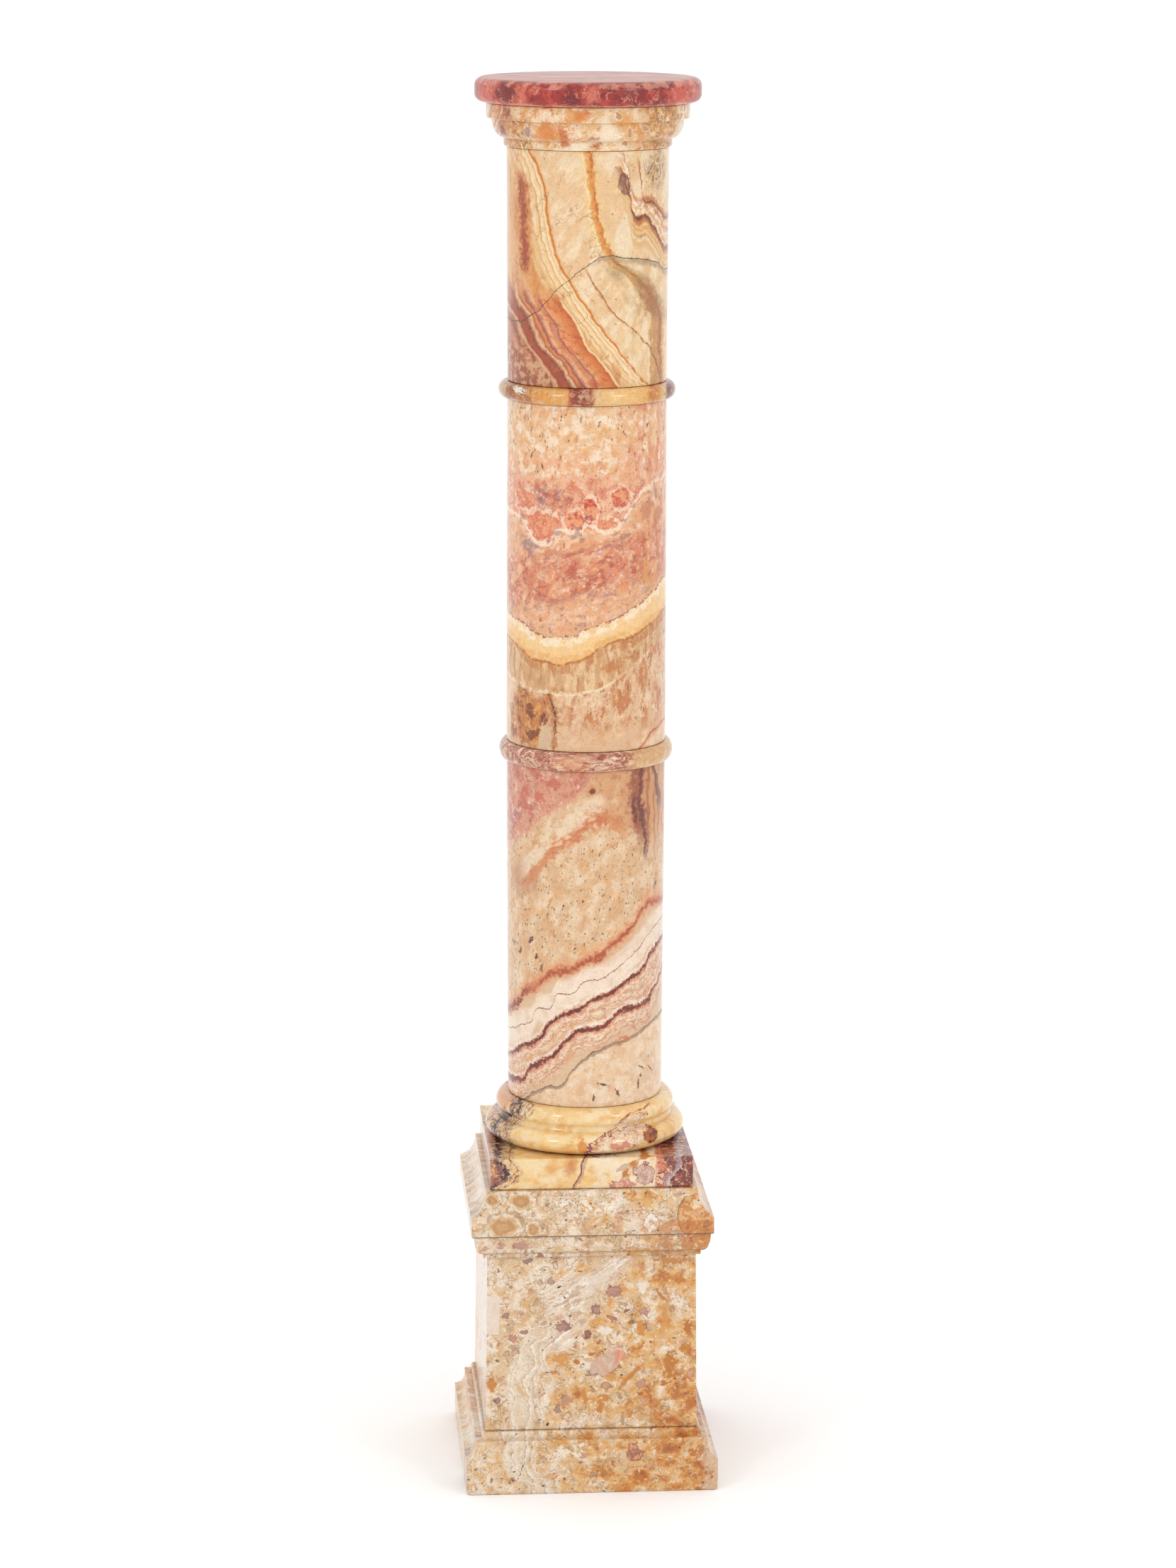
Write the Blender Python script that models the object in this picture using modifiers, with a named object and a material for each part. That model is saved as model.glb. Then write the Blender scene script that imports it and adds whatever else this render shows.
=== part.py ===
"""Onyx pedestal: a stone column of three turned drums on a moulded square block.

Sizes are in metres. The pieces stand on each other along +Z, and the origin is the
middle of the underside. From the floor up they are the moulded base, the die and
the cap of the square block, the column's own base with its square plinth, the lower
drum, the lower ring, the middle drum, the upper ring, the upper drum, the capital
and the round top disc. A bed joint parts each piece from the next.
"""

import math

import bpy

COLLECTION_NAME = "onyx_pedestal"
GUIDE_COLLECTION_NAME = "onyx_pedestal_guides"

# Joints and fineness
BED_GAP = 0.0003
TURNED_STEPS = 56
SQUARE_STEPS = 4
ARC_STEPS = 4
MERGE_DISTANCE = 0.00002
SMOOTH_ANGLE = math.radians(35.0)

# Top disc
DISC_OVERHANG = 0.0090
DISC_HEIGHT = 0.0190
DISC_EDGE_RADIUS = 0.0065

# Capital, each ledge measured out from the one below it
NECK_PROJECTION = 0.0025
NECK_HEIGHT = 0.0069
NECK_EDGE_RADIUS = 0.0016
CAPITAL_OVOLO_LEDGE = 0.0004
CAPITAL_OVOLO_RUN = 0.0090
CAPITAL_OVOLO_HEIGHT = 0.0153
ABACUS_LEDGE = 0.0044
ABACUS_HEIGHT = 0.0120
ABACUS_EDGE_RADIUS = 0.0008

# Shaft: three drums with a half-round ring between each two
UPPER_DRUM_TOP_RADIUS = 0.0637
UPPER_DRUM_FOOT_RADIUS = 0.0630
UPPER_DRUM_HEIGHT = 0.1833
UPPER_RING_PROJECTION = 0.0071
UPPER_RING_HEIGHT = 0.0137
MIDDLE_DRUM_TOP_RADIUS = 0.0631
MIDDLE_DRUM_FOOT_RADIUS = 0.0638
MIDDLE_DRUM_HEIGHT = 0.2747
LOWER_RING_PROJECTION = 0.0058
LOWER_RING_HEIGHT = 0.0156
LOWER_DRUM_TOP_RADIUS = 0.0636
LOWER_DRUM_FOOT_RADIUS = 0.0625
LOWER_DRUM_HEIGHT = 0.2754
RING_LIP = 0.0006

# Column base: two rolls with a hollow between them, measured out from the shaft,
# turned above a square plinth of the same stone
UPPER_ROLL_SHELF = 0.0012
UPPER_ROLL_PROJECTION = 0.0098
UPPER_ROLL_HEIGHT = 0.0125
UPPER_ROLL_BELLY_HEIGHT = 0.0042
HOLLOW_LEDGE = 0.0082
HOLLOW_DEPTH = 0.0012
HOLLOW_HEIGHT = 0.0055
LOWER_ROLL_PROJECTION = 0.0184
LOWER_ROLL_HEIGHT = 0.0184
LOWER_ROLL_BELLY_HEIGHT = 0.0090
LOWER_ROLL_FOOT_PROJECTION = 0.0052
ROLL_ROOT_DEPTH = 0.0060
COLUMN_PLINTH_MARGIN = 0.00085
COLUMN_PLINTH_HEIGHT = 0.0252

# Cap of the block, from its top edge down
CAP_MARGIN = 0.0035
CAP_COVE_RUN = 0.0123
CAP_COVE_HEIGHT = 0.0214
CAP_FASCIA_HEIGHT = 0.0133
CAP_OVOLO_INSET = 0.0023
CAP_OVOLO_RUN = 0.0062
CAP_OVOLO_HEIGHT = 0.0158
CAP_FILLET_INSET = 0.0012
CAP_FILLET_HEIGHT = 0.0041

# Die of the block, set in under the cap and a little wider at its foot
DIE_INSET = 0.0036
DIE_HEIGHT = 0.1457
DIE_SPREAD = 0.0015

# Moulded base of the block, each ledge measured out from the one above it
BASE_ROUND_PROJECTION = 0.0033
BASE_ROUND_HEIGHT = 0.0068
BASE_ROUND_RADIUS = 0.0033
BASE_FILLET_PROJECTION = 0.0052
BASE_FILLET_HEIGHT = 0.0051
BASE_COVE_RUN = 0.0077
BASE_COVE_HEIGHT = 0.0113
BASE_PLINTH_HEIGHT = 0.0260

# Finishes: base colour, linear, and roughness of the polished stone
CREAM_ONYX = (0.74, 0.55, 0.34)
HONEY_ONYX = (0.76, 0.50, 0.22)
PINK_ONYX = (0.72, 0.46, 0.32)
VEINED_ONYX = (0.62, 0.36, 0.24)
SHELLY_ONYX = (0.66, 0.46, 0.28)
RED_MARBLE = (0.30, 0.045, 0.035)
POLISH_ROUGHNESS = 0.22

# Radii and half widths that follow from the sizes above
NECK_RADIUS = UPPER_DRUM_TOP_RADIUS + NECK_PROJECTION
CAPITAL_OVOLO_FOOT_RADIUS = NECK_RADIUS + CAPITAL_OVOLO_LEDGE
CAPITAL_OVOLO_TOP_RADIUS = CAPITAL_OVOLO_FOOT_RADIUS + CAPITAL_OVOLO_RUN
ABACUS_RADIUS = CAPITAL_OVOLO_TOP_RADIUS + ABACUS_LEDGE
DISC_RADIUS = ABACUS_RADIUS + DISC_OVERHANG
LOWER_ROLL_RADIUS = LOWER_DRUM_FOOT_RADIUS + LOWER_ROLL_PROJECTION
COLUMN_PLINTH_HALF = LOWER_ROLL_RADIUS + COLUMN_PLINTH_MARGIN
CAP_TOP_HALF = COLUMN_PLINTH_HALF + CAP_MARGIN
CAP_FASCIA_HALF = CAP_TOP_HALF + CAP_COVE_RUN
CAP_OVOLO_TOP_HALF = CAP_FASCIA_HALF - CAP_OVOLO_INSET
CAP_OVOLO_FOOT_HALF = CAP_OVOLO_TOP_HALF - CAP_OVOLO_RUN
CAP_FILLET_HALF = CAP_OVOLO_FOOT_HALF - CAP_FILLET_INSET
DIE_TOP_HALF = CAP_FILLET_HALF - DIE_INSET
DIE_FOOT_HALF = DIE_TOP_HALF + DIE_SPREAD
BASE_ROUND_HALF = DIE_FOOT_HALF + BASE_ROUND_PROJECTION
BASE_FILLET_HALF = BASE_ROUND_HALF + BASE_FILLET_PROJECTION
BASE_PLINTH_HALF = BASE_FILLET_HALF + BASE_COVE_RUN


def clear_scene():
    """Remove whatever objects the open file holds."""
    for old in list(bpy.data.objects):
        bpy.data.objects.remove(old, do_unlink=True)


def make_collection(name):
    """Return a new collection linked to the scene."""
    made = bpy.data.collections.new(name)
    bpy.context.scene.collection.children.link(made)
    return made


def stone(name, colour):
    """Return a polished stone material of one colour."""
    material = bpy.data.materials.new(name)
    material.use_nodes = True
    shader = material.node_tree.nodes["Principled BSDF"]
    shader.inputs["Base Color"].default_value = (*colour, 1.0)
    shader.inputs["Roughness"].default_value = POLISH_ROUGHNESS
    shader.inputs["Metallic"].default_value = 0.0
    material.diffuse_color = (*colour, 1.0)
    return material


def ellipse_arc(centre, across, up, start, end):
    """Return points of an ellipse's arc, with angles in degrees from +X towards +Z."""
    points = []
    for step in range(ARC_STEPS + 1):
        angle = math.radians(start + (end - start) * step / ARC_STEPS)
        points.append((centre[0] + across * math.cos(angle), centre[1] + up * math.sin(angle)))
    return points


def roll(top, belly, foot):
    """Return a convex curve from top, out to the belly and back in to the foot."""
    over = ellipse_arc((top[0], belly[1]), belly[0] - top[0], top[1] - belly[1], 90.0, 0.0)
    under = ellipse_arc((foot[0], belly[1]), belly[0] - foot[0], belly[1] - foot[1], 0.0, -90.0)
    return over + under


def cove(top, foot):
    """Return a hollow arc that leaves its top point upright and runs out to its foot."""
    run = foot[0] - top[0]
    rise = top[1] - foot[1]
    radius = (run * run + rise * rise) / (2.0 * run)
    sweep = math.degrees(math.atan2(rise, radius - run))
    return ellipse_arc((top[0] + radius, top[1]), radius, radius, 180.0, 180.0 + sweep)


def ovolo(top, foot):
    """Return a convex quarter that leaves its top point upright and turns in to its foot."""
    return ellipse_arc((foot[0], top[1]), top[0] - foot[0], top[1] - foot[1], 0.0, -90.0)


def rounded_top_edge(edge, radius):
    """Return a quarter round that runs from a flat top out to its edge."""
    return ellipse_arc((edge[0] - radius, edge[1] - radius), radius, radius, 90.0, 0.0)


def rounded_foot_edge(edge, radius):
    """Return a quarter round that runs from an upright side in to a flat underside."""
    return ellipse_arc((edge[0] - radius, edge[1] + radius), radius, radius, 0.0, -90.0)


def hollow(top, foot, depth):
    """Return a shallow hollow between two points, pressed in by its depth."""
    points = []
    for step in range(ARC_STEPS + 1):
        part = step / ARC_STEPS
        reach = top[0] + (foot[0] - top[0]) * part - depth * math.sin(math.pi * part)
        points.append((reach, top[1] + (foot[1] - top[1]) * part))
    return points


def without_repeats(points):
    """Return the points with each one that falls on its neighbour left out."""
    kept = [points[0]]
    for point in points[1:]:
        if math.dist(point, kept[-1]) > MERGE_DISTANCE:
            kept.append(point)
    return kept


def turn_outline(name, outline, steps, stretch):
    """Return an object turned about Z, closed at both ends of its outline.

    The outline runs down the outer side from top to bottom. Four steps with the
    outline stretched to the diagonal give a mitred square instead of a round.
    """
    points = without_repeats([(0.0, outline[0][1]), *outline, (0.0, outline[-1][1])])
    mesh = bpy.data.meshes.new(name)
    mesh.from_pydata(
        [(reach * stretch, 0.0, height) for reach, height in points],
        [(index, index + 1) for index in range(len(points) - 1)],
        [],
    )
    made = bpy.data.objects.new(name, mesh)
    screw = made.modifiers.new("turn", "SCREW")
    screw.axis = "Z"
    screw.angle = math.tau
    screw.steps = steps
    screw.render_steps = steps
    screw.use_merge_vertices = True
    screw.merge_threshold = MERGE_DISTANCE
    return made


def round_body(name, outline):
    """Return an unplaced turned object."""
    return turn_outline(name, outline, TURNED_STEPS, 1.0)


def square_body(name, outline):
    """Return an unplaced mitred square object, whose outline gives half widths."""
    made = turn_outline(name, outline, SQUARE_STEPS, math.sqrt(2.0))
    made.rotation_euler.z = math.radians(45.0)
    return made


def settle(piece):
    """Make a piece's modifiers its mesh, smooth apart from its arrises."""
    depsgraph = bpy.context.evaluated_depsgraph_get()
    mesh = bpy.data.meshes.new_from_object(piece.evaluated_get(depsgraph))
    outline_mesh = piece.data
    piece.modifiers.clear()
    piece.data = mesh
    bpy.data.meshes.remove(outline_mesh)
    mesh.name = piece.name
    mesh.shade_smooth()
    mesh.set_sharp_from_angle(angle=SMOOTH_ANGLE)


def disc_outline():
    """Return the outline of the top disc."""
    top = rounded_top_edge((DISC_RADIUS, DISC_HEIGHT), DISC_EDGE_RADIUS)
    foot = rounded_foot_edge((DISC_RADIUS, 0.0), DISC_EDGE_RADIUS)
    return top + foot


def capital_outline():
    """Return the outline of the capital: abacus, ovolo and neck."""
    ovolo_foot = NECK_HEIGHT
    abacus_foot = ovolo_foot + CAPITAL_OVOLO_HEIGHT
    top = abacus_foot + ABACUS_HEIGHT
    return [
        *rounded_top_edge((ABACUS_RADIUS, top), ABACUS_EDGE_RADIUS),
        (ABACUS_RADIUS, abacus_foot),
        *ovolo((CAPITAL_OVOLO_TOP_RADIUS, abacus_foot), (CAPITAL_OVOLO_FOOT_RADIUS, ovolo_foot)),
        (NECK_RADIUS, ovolo_foot),
        *rounded_foot_edge((NECK_RADIUS, 0.0), NECK_EDGE_RADIUS),
    ]


def ring_outline(drum_radius, projection, height):
    """Return the outline of a half-round ring that stands out from the drums."""
    seat = drum_radius + RING_LIP
    return roll((seat, height), (drum_radius + projection, height / 2.0), (seat, 0.0))


def roll_outline():
    """Return the outline of the two rolls, which runs down into the square plinth."""
    shaft = LOWER_DRUM_FOOT_RADIUS
    lower_foot = COLUMN_PLINTH_HEIGHT
    hollow_foot = lower_foot + LOWER_ROLL_HEIGHT
    upper_foot = hollow_foot + HOLLOW_HEIGHT
    top = upper_foot + UPPER_ROLL_HEIGHT
    ledge = shaft + HOLLOW_LEDGE
    foot_radius = shaft + LOWER_ROLL_FOOT_PROJECTION
    return [
        *roll(
            (shaft + UPPER_ROLL_SHELF, top),
            (shaft + UPPER_ROLL_PROJECTION, upper_foot + UPPER_ROLL_BELLY_HEIGHT),
            (ledge, upper_foot),
        ),
        *hollow((ledge, upper_foot), (ledge, hollow_foot), HOLLOW_DEPTH),
        *roll(
            (ledge, hollow_foot),
            (LOWER_ROLL_RADIUS, lower_foot + LOWER_ROLL_BELLY_HEIGHT),
            (foot_radius, lower_foot),
        ),
        (foot_radius, lower_foot - ROLL_ROOT_DEPTH),
    ]


def cap_outline():
    """Return the half outline of the block's cap."""
    ovolo_foot = CAP_FILLET_HEIGHT
    fascia_foot = ovolo_foot + CAP_OVOLO_HEIGHT
    cove_foot = fascia_foot + CAP_FASCIA_HEIGHT
    top = cove_foot + CAP_COVE_HEIGHT
    return [
        *cove((CAP_TOP_HALF, top), (CAP_FASCIA_HALF, cove_foot)),
        (CAP_FASCIA_HALF, fascia_foot),
        *ovolo((CAP_OVOLO_TOP_HALF, fascia_foot), (CAP_OVOLO_FOOT_HALF, ovolo_foot)),
        (CAP_FILLET_HALF, ovolo_foot),
        (CAP_FILLET_HALF, 0.0),
    ]


def base_outline():
    """Return the half outline of the block's moulded base."""
    cove_foot = BASE_PLINTH_HEIGHT
    fillet_foot = cove_foot + BASE_COVE_HEIGHT
    round_foot = fillet_foot + BASE_FILLET_HEIGHT
    top = round_foot + BASE_ROUND_HEIGHT
    return [
        *rounded_top_edge((BASE_ROUND_HALF, top), BASE_ROUND_RADIUS),
        (BASE_ROUND_HALF, round_foot),
        (BASE_FILLET_HALF, round_foot),
        *cove((BASE_FILLET_HALF, fillet_foot), (BASE_PLINTH_HALF, cove_foot)),
        (BASE_PLINTH_HALF, 0.0),
    ]


def column_base(guides):
    """Return the column's base: the turned rolls and the square plinth as one stone."""
    rolls = round_body("column_base_rolls", roll_outline())
    rolls.hide_render = True
    rolls.display_type = "WIRE"
    guides.objects.link(rolls)
    plinth = square_body(
        "column_base", [(COLUMN_PLINTH_HALF, COLUMN_PLINTH_HEIGHT), (COLUMN_PLINTH_HALF, 0.0)]
    )
    join = plinth.modifiers.new("rolls", "BOOLEAN")
    join.operation = "UNION"
    join.solver = "EXACT"
    join.object = rolls
    return plinth, rolls


def build():
    """Build every piece and stand it on the one below."""
    clear_scene()
    pieces = make_collection(COLLECTION_NAME)
    guides = make_collection(GUIDE_COLLECTION_NAME)

    shelly = stone("shelly_onyx", SHELLY_ONYX)
    honey = stone("honey_onyx", HONEY_ONYX)
    veined = stone("veined_onyx", VEINED_ONYX)
    pink = stone("pink_onyx", PINK_ONYX)
    cream = stone("cream_onyx", CREAM_ONYX)
    red = stone("red_marble", RED_MARBLE)

    base_height = BASE_PLINTH_HEIGHT + BASE_COVE_HEIGHT + BASE_FILLET_HEIGHT + BASE_ROUND_HEIGHT
    cap_height = CAP_FILLET_HEIGHT + CAP_OVOLO_HEIGHT + CAP_FASCIA_HEIGHT + CAP_COVE_HEIGHT
    roll_height = LOWER_ROLL_HEIGHT + HOLLOW_HEIGHT + UPPER_ROLL_HEIGHT
    column_base_height = COLUMN_PLINTH_HEIGHT + roll_height
    capital_height = NECK_HEIGHT + CAPITAL_OVOLO_HEIGHT + ABACUS_HEIGHT
    lower_ring_seat = max(LOWER_DRUM_TOP_RADIUS, MIDDLE_DRUM_FOOT_RADIUS)
    upper_ring_seat = max(MIDDLE_DRUM_TOP_RADIUS, UPPER_DRUM_FOOT_RADIUS)

    plinth, rolls = column_base(guides)
    stack = [
        (square_body("pedestal_base", base_outline()), shelly, base_height),
        (
            square_body("pedestal_die", [(DIE_TOP_HALF, DIE_HEIGHT), (DIE_FOOT_HALF, 0.0)]),
            shelly, DIE_HEIGHT,
        ),
        (square_body("pedestal_cap", cap_outline()), shelly, cap_height),
        (plinth, honey, column_base_height),
        (
            round_body("lower_drum", [
                (LOWER_DRUM_TOP_RADIUS, LOWER_DRUM_HEIGHT), (LOWER_DRUM_FOOT_RADIUS, 0.0)]),
            cream, LOWER_DRUM_HEIGHT,
        ),
        (
            round_body("lower_ring", ring_outline(
                lower_ring_seat, LOWER_RING_PROJECTION, LOWER_RING_HEIGHT)),
            veined, LOWER_RING_HEIGHT,
        ),
        (
            round_body("middle_drum", [
                (MIDDLE_DRUM_TOP_RADIUS, MIDDLE_DRUM_HEIGHT), (MIDDLE_DRUM_FOOT_RADIUS, 0.0)]),
            pink, MIDDLE_DRUM_HEIGHT,
        ),
        (
            round_body("upper_ring", ring_outline(
                upper_ring_seat, UPPER_RING_PROJECTION, UPPER_RING_HEIGHT)),
            honey, UPPER_RING_HEIGHT,
        ),
        (
            round_body("upper_drum", [
                (UPPER_DRUM_TOP_RADIUS, UPPER_DRUM_HEIGHT), (UPPER_DRUM_FOOT_RADIUS, 0.0)]),
            cream, UPPER_DRUM_HEIGHT,
        ),
        (round_body("capital", capital_outline()), cream, capital_height),
        (round_body("top_disc", disc_outline()), red, DISC_HEIGHT),
    ]

    height = 0.0
    for piece, material, piece_height in stack:
        piece.data.materials.append(material)
        piece.location.z = height
        pieces.objects.link(piece)
        if piece is plinth:
            rolls.location.z = height
        height += piece_height + BED_GAP
    for piece, _, _ in stack:
        settle(piece)
    settle(rolls)


build()
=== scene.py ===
"""Dresses the onyx pedestal in its stones.

Each stone of the pedestal gets a finely modelled mesh in place of its plain solid,
with worn arrises, and a figured, polished finish: banded onyx on the shaft, honey
onyx at the column's base, shelly onyx on the block and red marble on top.
"""

import logging
import math
from collections.abc import Callable, Sequence
from dataclasses import dataclass
from enum import Enum

import bmesh
import bpy
from mathutils import Matrix, Vector, noise

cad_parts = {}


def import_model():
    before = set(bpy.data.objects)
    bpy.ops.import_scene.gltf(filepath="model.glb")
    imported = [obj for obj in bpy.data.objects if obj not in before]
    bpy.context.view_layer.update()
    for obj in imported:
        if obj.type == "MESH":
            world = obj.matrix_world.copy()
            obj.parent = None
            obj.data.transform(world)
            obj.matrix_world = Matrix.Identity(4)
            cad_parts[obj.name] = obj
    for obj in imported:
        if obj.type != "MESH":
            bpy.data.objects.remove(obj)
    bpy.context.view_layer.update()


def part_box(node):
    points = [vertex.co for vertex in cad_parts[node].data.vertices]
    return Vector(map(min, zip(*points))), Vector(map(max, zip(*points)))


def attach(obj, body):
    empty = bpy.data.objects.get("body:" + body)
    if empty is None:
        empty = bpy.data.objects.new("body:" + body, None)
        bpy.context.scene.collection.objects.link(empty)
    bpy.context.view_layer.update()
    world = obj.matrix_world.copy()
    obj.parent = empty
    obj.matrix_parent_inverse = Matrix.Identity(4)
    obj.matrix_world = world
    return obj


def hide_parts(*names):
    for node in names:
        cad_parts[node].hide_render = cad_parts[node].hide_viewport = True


LOG = logging.getLogger("onyx_pedestal")

MM = 0.001
PHOTO_HEIGHT = 2212

# Points closer than these are one: along an outline, and in a mesh spun from it
SAME_POINT = 0.02 * MM
WELD = 0.004 * MM

# The pedestal stands turned a little to the camera, so that its left side shows
VIEW_TURN = math.radians(4.3)

Point = tuple[float, float]
Place = tuple[float, float, float]
Socket = bpy.types.NodeSocket


class BlockPart(Enum):
    """The three stones of the block."""

    BASE = "pedestal_base"
    DIE = "pedestal_die"
    CAP = "pedestal_cap"


class Stone(Enum):
    """The record's material slots, one for each stone, which the pieces' log lines name."""

    SHELLY = "shelly_onyx"
    HONEY = "honey_onyx"
    VEINED = "veined_onyx"
    PINK = "pink_onyx"
    CREAM = "cream_onyx"
    RED = "red_marble"


def arc(centre: Point, across: float, up: float, start: float, end: float, steps: int) -> list[Point]:
    """Return points along an ellipse's arc.

    Args:
        centre: the ellipse's centre, as reach and height.
        across: half its width.
        up: half its height.
        start: first angle in degrees, from outwards towards upwards.
        end: last angle in degrees.
        steps: number of stretches.

    Returns:
        The points, with both ends.
    """
    angles = [math.radians(start + (end - start) * step / steps) for step in range(steps + 1)]
    return [(centre[0] + across * math.cos(a), centre[1] + up * math.sin(a)) for a in angles]


def roll(top: Point, belly: Point, foot: Point, steps: int = 12) -> list[Point]:
    """Return a convex curve from top, out to its belly and back in to its foot."""
    over = arc((top[0], belly[1]), belly[0] - top[0], top[1] - belly[1], 90.0, 0.0, steps)
    under = arc((foot[0], belly[1]), belly[0] - foot[0], belly[1] - foot[1], 0.0, -90.0, steps)
    return over + under


def cove(top: Point, foot: Point, steps: int = 14) -> list[Point]:
    """Return a hollow arc that leaves its top point upright and runs out to its foot.

    Args:
        top: where it starts, as reach and height, in millimetres.
        foot: where it ends, as reach and height, in millimetres.
        steps: number of stretches.

    Returns:
        The points, from top to bottom.
    """
    run = foot[0] - top[0]
    rise = top[1] - foot[1]
    radius = (run * run + rise * rise) / (2.0 * run)
    sweep = math.degrees(math.atan2(rise, radius - run))
    return arc((top[0] + radius, top[1]), radius, radius, 180.0, 180.0 + sweep, steps)


def ovolo(top: Point, foot: Point, steps: int = 14) -> list[Point]:
    """Return a convex quarter that leaves its top upright and turns in to its foot."""
    return arc((foot[0], top[1]), top[0] - foot[0], top[1] - foot[1], 0.0, -90.0, steps)


def hollow(top: Point, foot: Point, depth: float, steps: int = 8) -> list[Point]:
    """Return a shallow hollow between two points, pressed in by its depth.

    Args:
        top: where it starts, as reach and height, in millimetres.
        foot: where it ends, as reach and height, in millimetres.
        depth: how far it is pressed in, in millimetres.
        steps: number of stretches.

    Returns:
        The points, from top to bottom.
    """
    points = []
    for step in range(steps + 1):
        part = step / steps
        reach = top[0] + (foot[0] - top[0]) * part - depth * math.sin(math.pi * part)
        points.append((reach, top[1] + (foot[1] - top[1]) * part))
    return points


def eased(corner: Point, radius: float, upper: bool, steps: int = 5) -> list[Point]:
    """Return a small quarter round in place of an outer arris.

    Args:
        corner: the sharp arris, as reach and height.
        radius: how far it is eased.
        upper: whether the arris is at a top face, or at an underside.
        steps: number of stretches.

    Returns:
        The points, running from top to bottom.
    """
    if upper:
        return arc((corner[0] - radius, corner[1] - radius), radius, radius, 90.0, 0.0, steps)
    return arc((corner[0] - radius, corner[1] + radius), radius, radius, 0.0, -90.0, steps)


def cut_long_edges(mesh: bmesh.types.BMesh, limit: float) -> None:
    """Cut every edge longer than the limit, in metres, into even shorter ones.

    Args:
        mesh: the mesh, in metres.
        limit: longest edge that is left uncut, in metres.
    """
    groups: dict[int, list[bmesh.types.BMEdge]] = {}
    for edge in mesh.edges:
        cuts = math.ceil(edge.calc_length() / limit) - 1
        if cuts > 0:
            groups.setdefault(cuts, []).append(edge)
    for cuts, edges in sorted(groups.items()):
        bmesh.ops.subdivide_edges(mesh, edges=edges, cuts=cuts, use_grid_fill=True)


def profile_mesh(outline: list[Point]) -> bmesh.types.BMesh:
    """Return a bmesh that holds an outline in the XZ plane, in metres.

    Args:
        outline: reach and height of each point, in millimetres, from top to bottom.

    Returns:
        The mesh, with points and edges only.
    """
    mesh = bmesh.new()
    last = None
    for reach, height in outline:
        point = mesh.verts.new((reach * MM, 0.0, height * MM))
        if last is not None and (point.co - last.co).length < SAME_POINT:
            mesh.verts.remove(point)
            continue
        if last is not None:
            mesh.edges.new((last, point))
        last = point
    return mesh


def spun(outline: list[Point], steps: int, limit: float) -> bmesh.types.BMesh:
    """Return an outline spun once about Z, welded, with its long stretches cut.

    Args:
        outline: reach and height of each point, in millimetres, from top to bottom.
        steps: number of columns round it.
        limit: longest edge that is left uncut, in millimetres.

    Returns:
        The mesh, open at its top and underside.
    """
    mesh = profile_mesh(outline)
    bmesh.ops.spin(
        mesh, geom=mesh.verts[:] + mesh.edges[:], cent=(0.0, 0.0, 0.0), axis=(0.0, 0.0, 1.0),
        dvec=(0.0, 0.0, 0.0), angle=math.tau, steps=steps, use_merge=True, use_duplicate=False,
    )
    bmesh.ops.remove_doubles(mesh, verts=mesh.verts[:], dist=WELD)
    cut_long_edges(mesh, limit * MM)
    return mesh


def squared(outline: list[Point], cuts: int, limit: float) -> bmesh.types.BMesh:
    """Return an outline mitred round a square, whose reach gives half widths.

    The columns of points crowd towards the corners, where the arrises are eased.

    Args:
        outline: half width and height of each point, in millimetres.
        cuts: number of cuts across each side.
        limit: longest uncut edge of the outline, in millimetres.

    Returns:
        The mesh, open at its top and underside where the outline is open.
    """
    diagonal = [(reach * math.sqrt(2.0), height) for reach, height in outline]
    mesh = profile_mesh(diagonal)
    cut_long_edges(mesh, limit * MM)
    bmesh.ops.spin(
        mesh, geom=mesh.verts[:] + mesh.edges[:], cent=(0.0, 0.0, 0.0), axis=(0.0, 0.0, 1.0),
        dvec=(0.0, 0.0, 0.0), angle=math.tau, steps=4, use_merge=True, use_duplicate=False,
    )
    bmesh.ops.remove_doubles(mesh, verts=mesh.verts[:], dist=WELD)
    eighth = Matrix.Rotation(math.radians(45.0), 3, "Z")
    bmesh.ops.rotate(mesh, verts=mesh.verts[:], cent=(0.0, 0.0, 0.0), matrix=eighth)
    level = [e for e in mesh.edges if abs(e.verts[0].co.z - e.verts[1].co.z) < 0.001 * MM]
    sides = [e for e in level if e.calc_length() > 20.0 * MM]
    bmesh.ops.subdivide_edges(mesh, edges=sides, cuts=cuts, use_grid_fill=True)
    for point in mesh.verts:
        half = max(abs(point.co.x), abs(point.co.y))
        for axis in (0, 1):
            part = point.co[axis] / half
            if abs(part) < 1.0 - 1e-6:
                point.co[axis] = half * (0.45 * part + 0.55 * math.sin(part * math.pi / 2.0))
    return mesh


def ease_corners(mesh: bmesh.types.BMesh, radius_at: Callable[[Vector], float]) -> None:
    """Round a square stone's upright arrises.

    Args:
        mesh: the stone's mesh, in metres.
        radius_at: function that gives the radius in metres at a point.
    """
    for point in mesh.verts:
        half = max(abs(point.co.x), abs(point.co.y))
        radius = radius_at(point.co)
        inner = half - radius
        if min(abs(point.co.x), abs(point.co.y)) <= inner or radius <= 0.0:
            continue
        pivot = Vector((math.copysign(inner, point.co.x), math.copysign(inner, point.co.y), point.co.z))
        offset = point.co - pivot
        point.co = pivot + offset.normalized() * radius


def close_ends(mesh: bmesh.types.BMesh) -> None:
    """Close whatever round or square openings a mesh has left."""
    rim = [edge for edge in mesh.edges if edge.is_boundary]
    bmesh.ops.holes_fill(mesh, edges=rim, sides=0)


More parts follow.
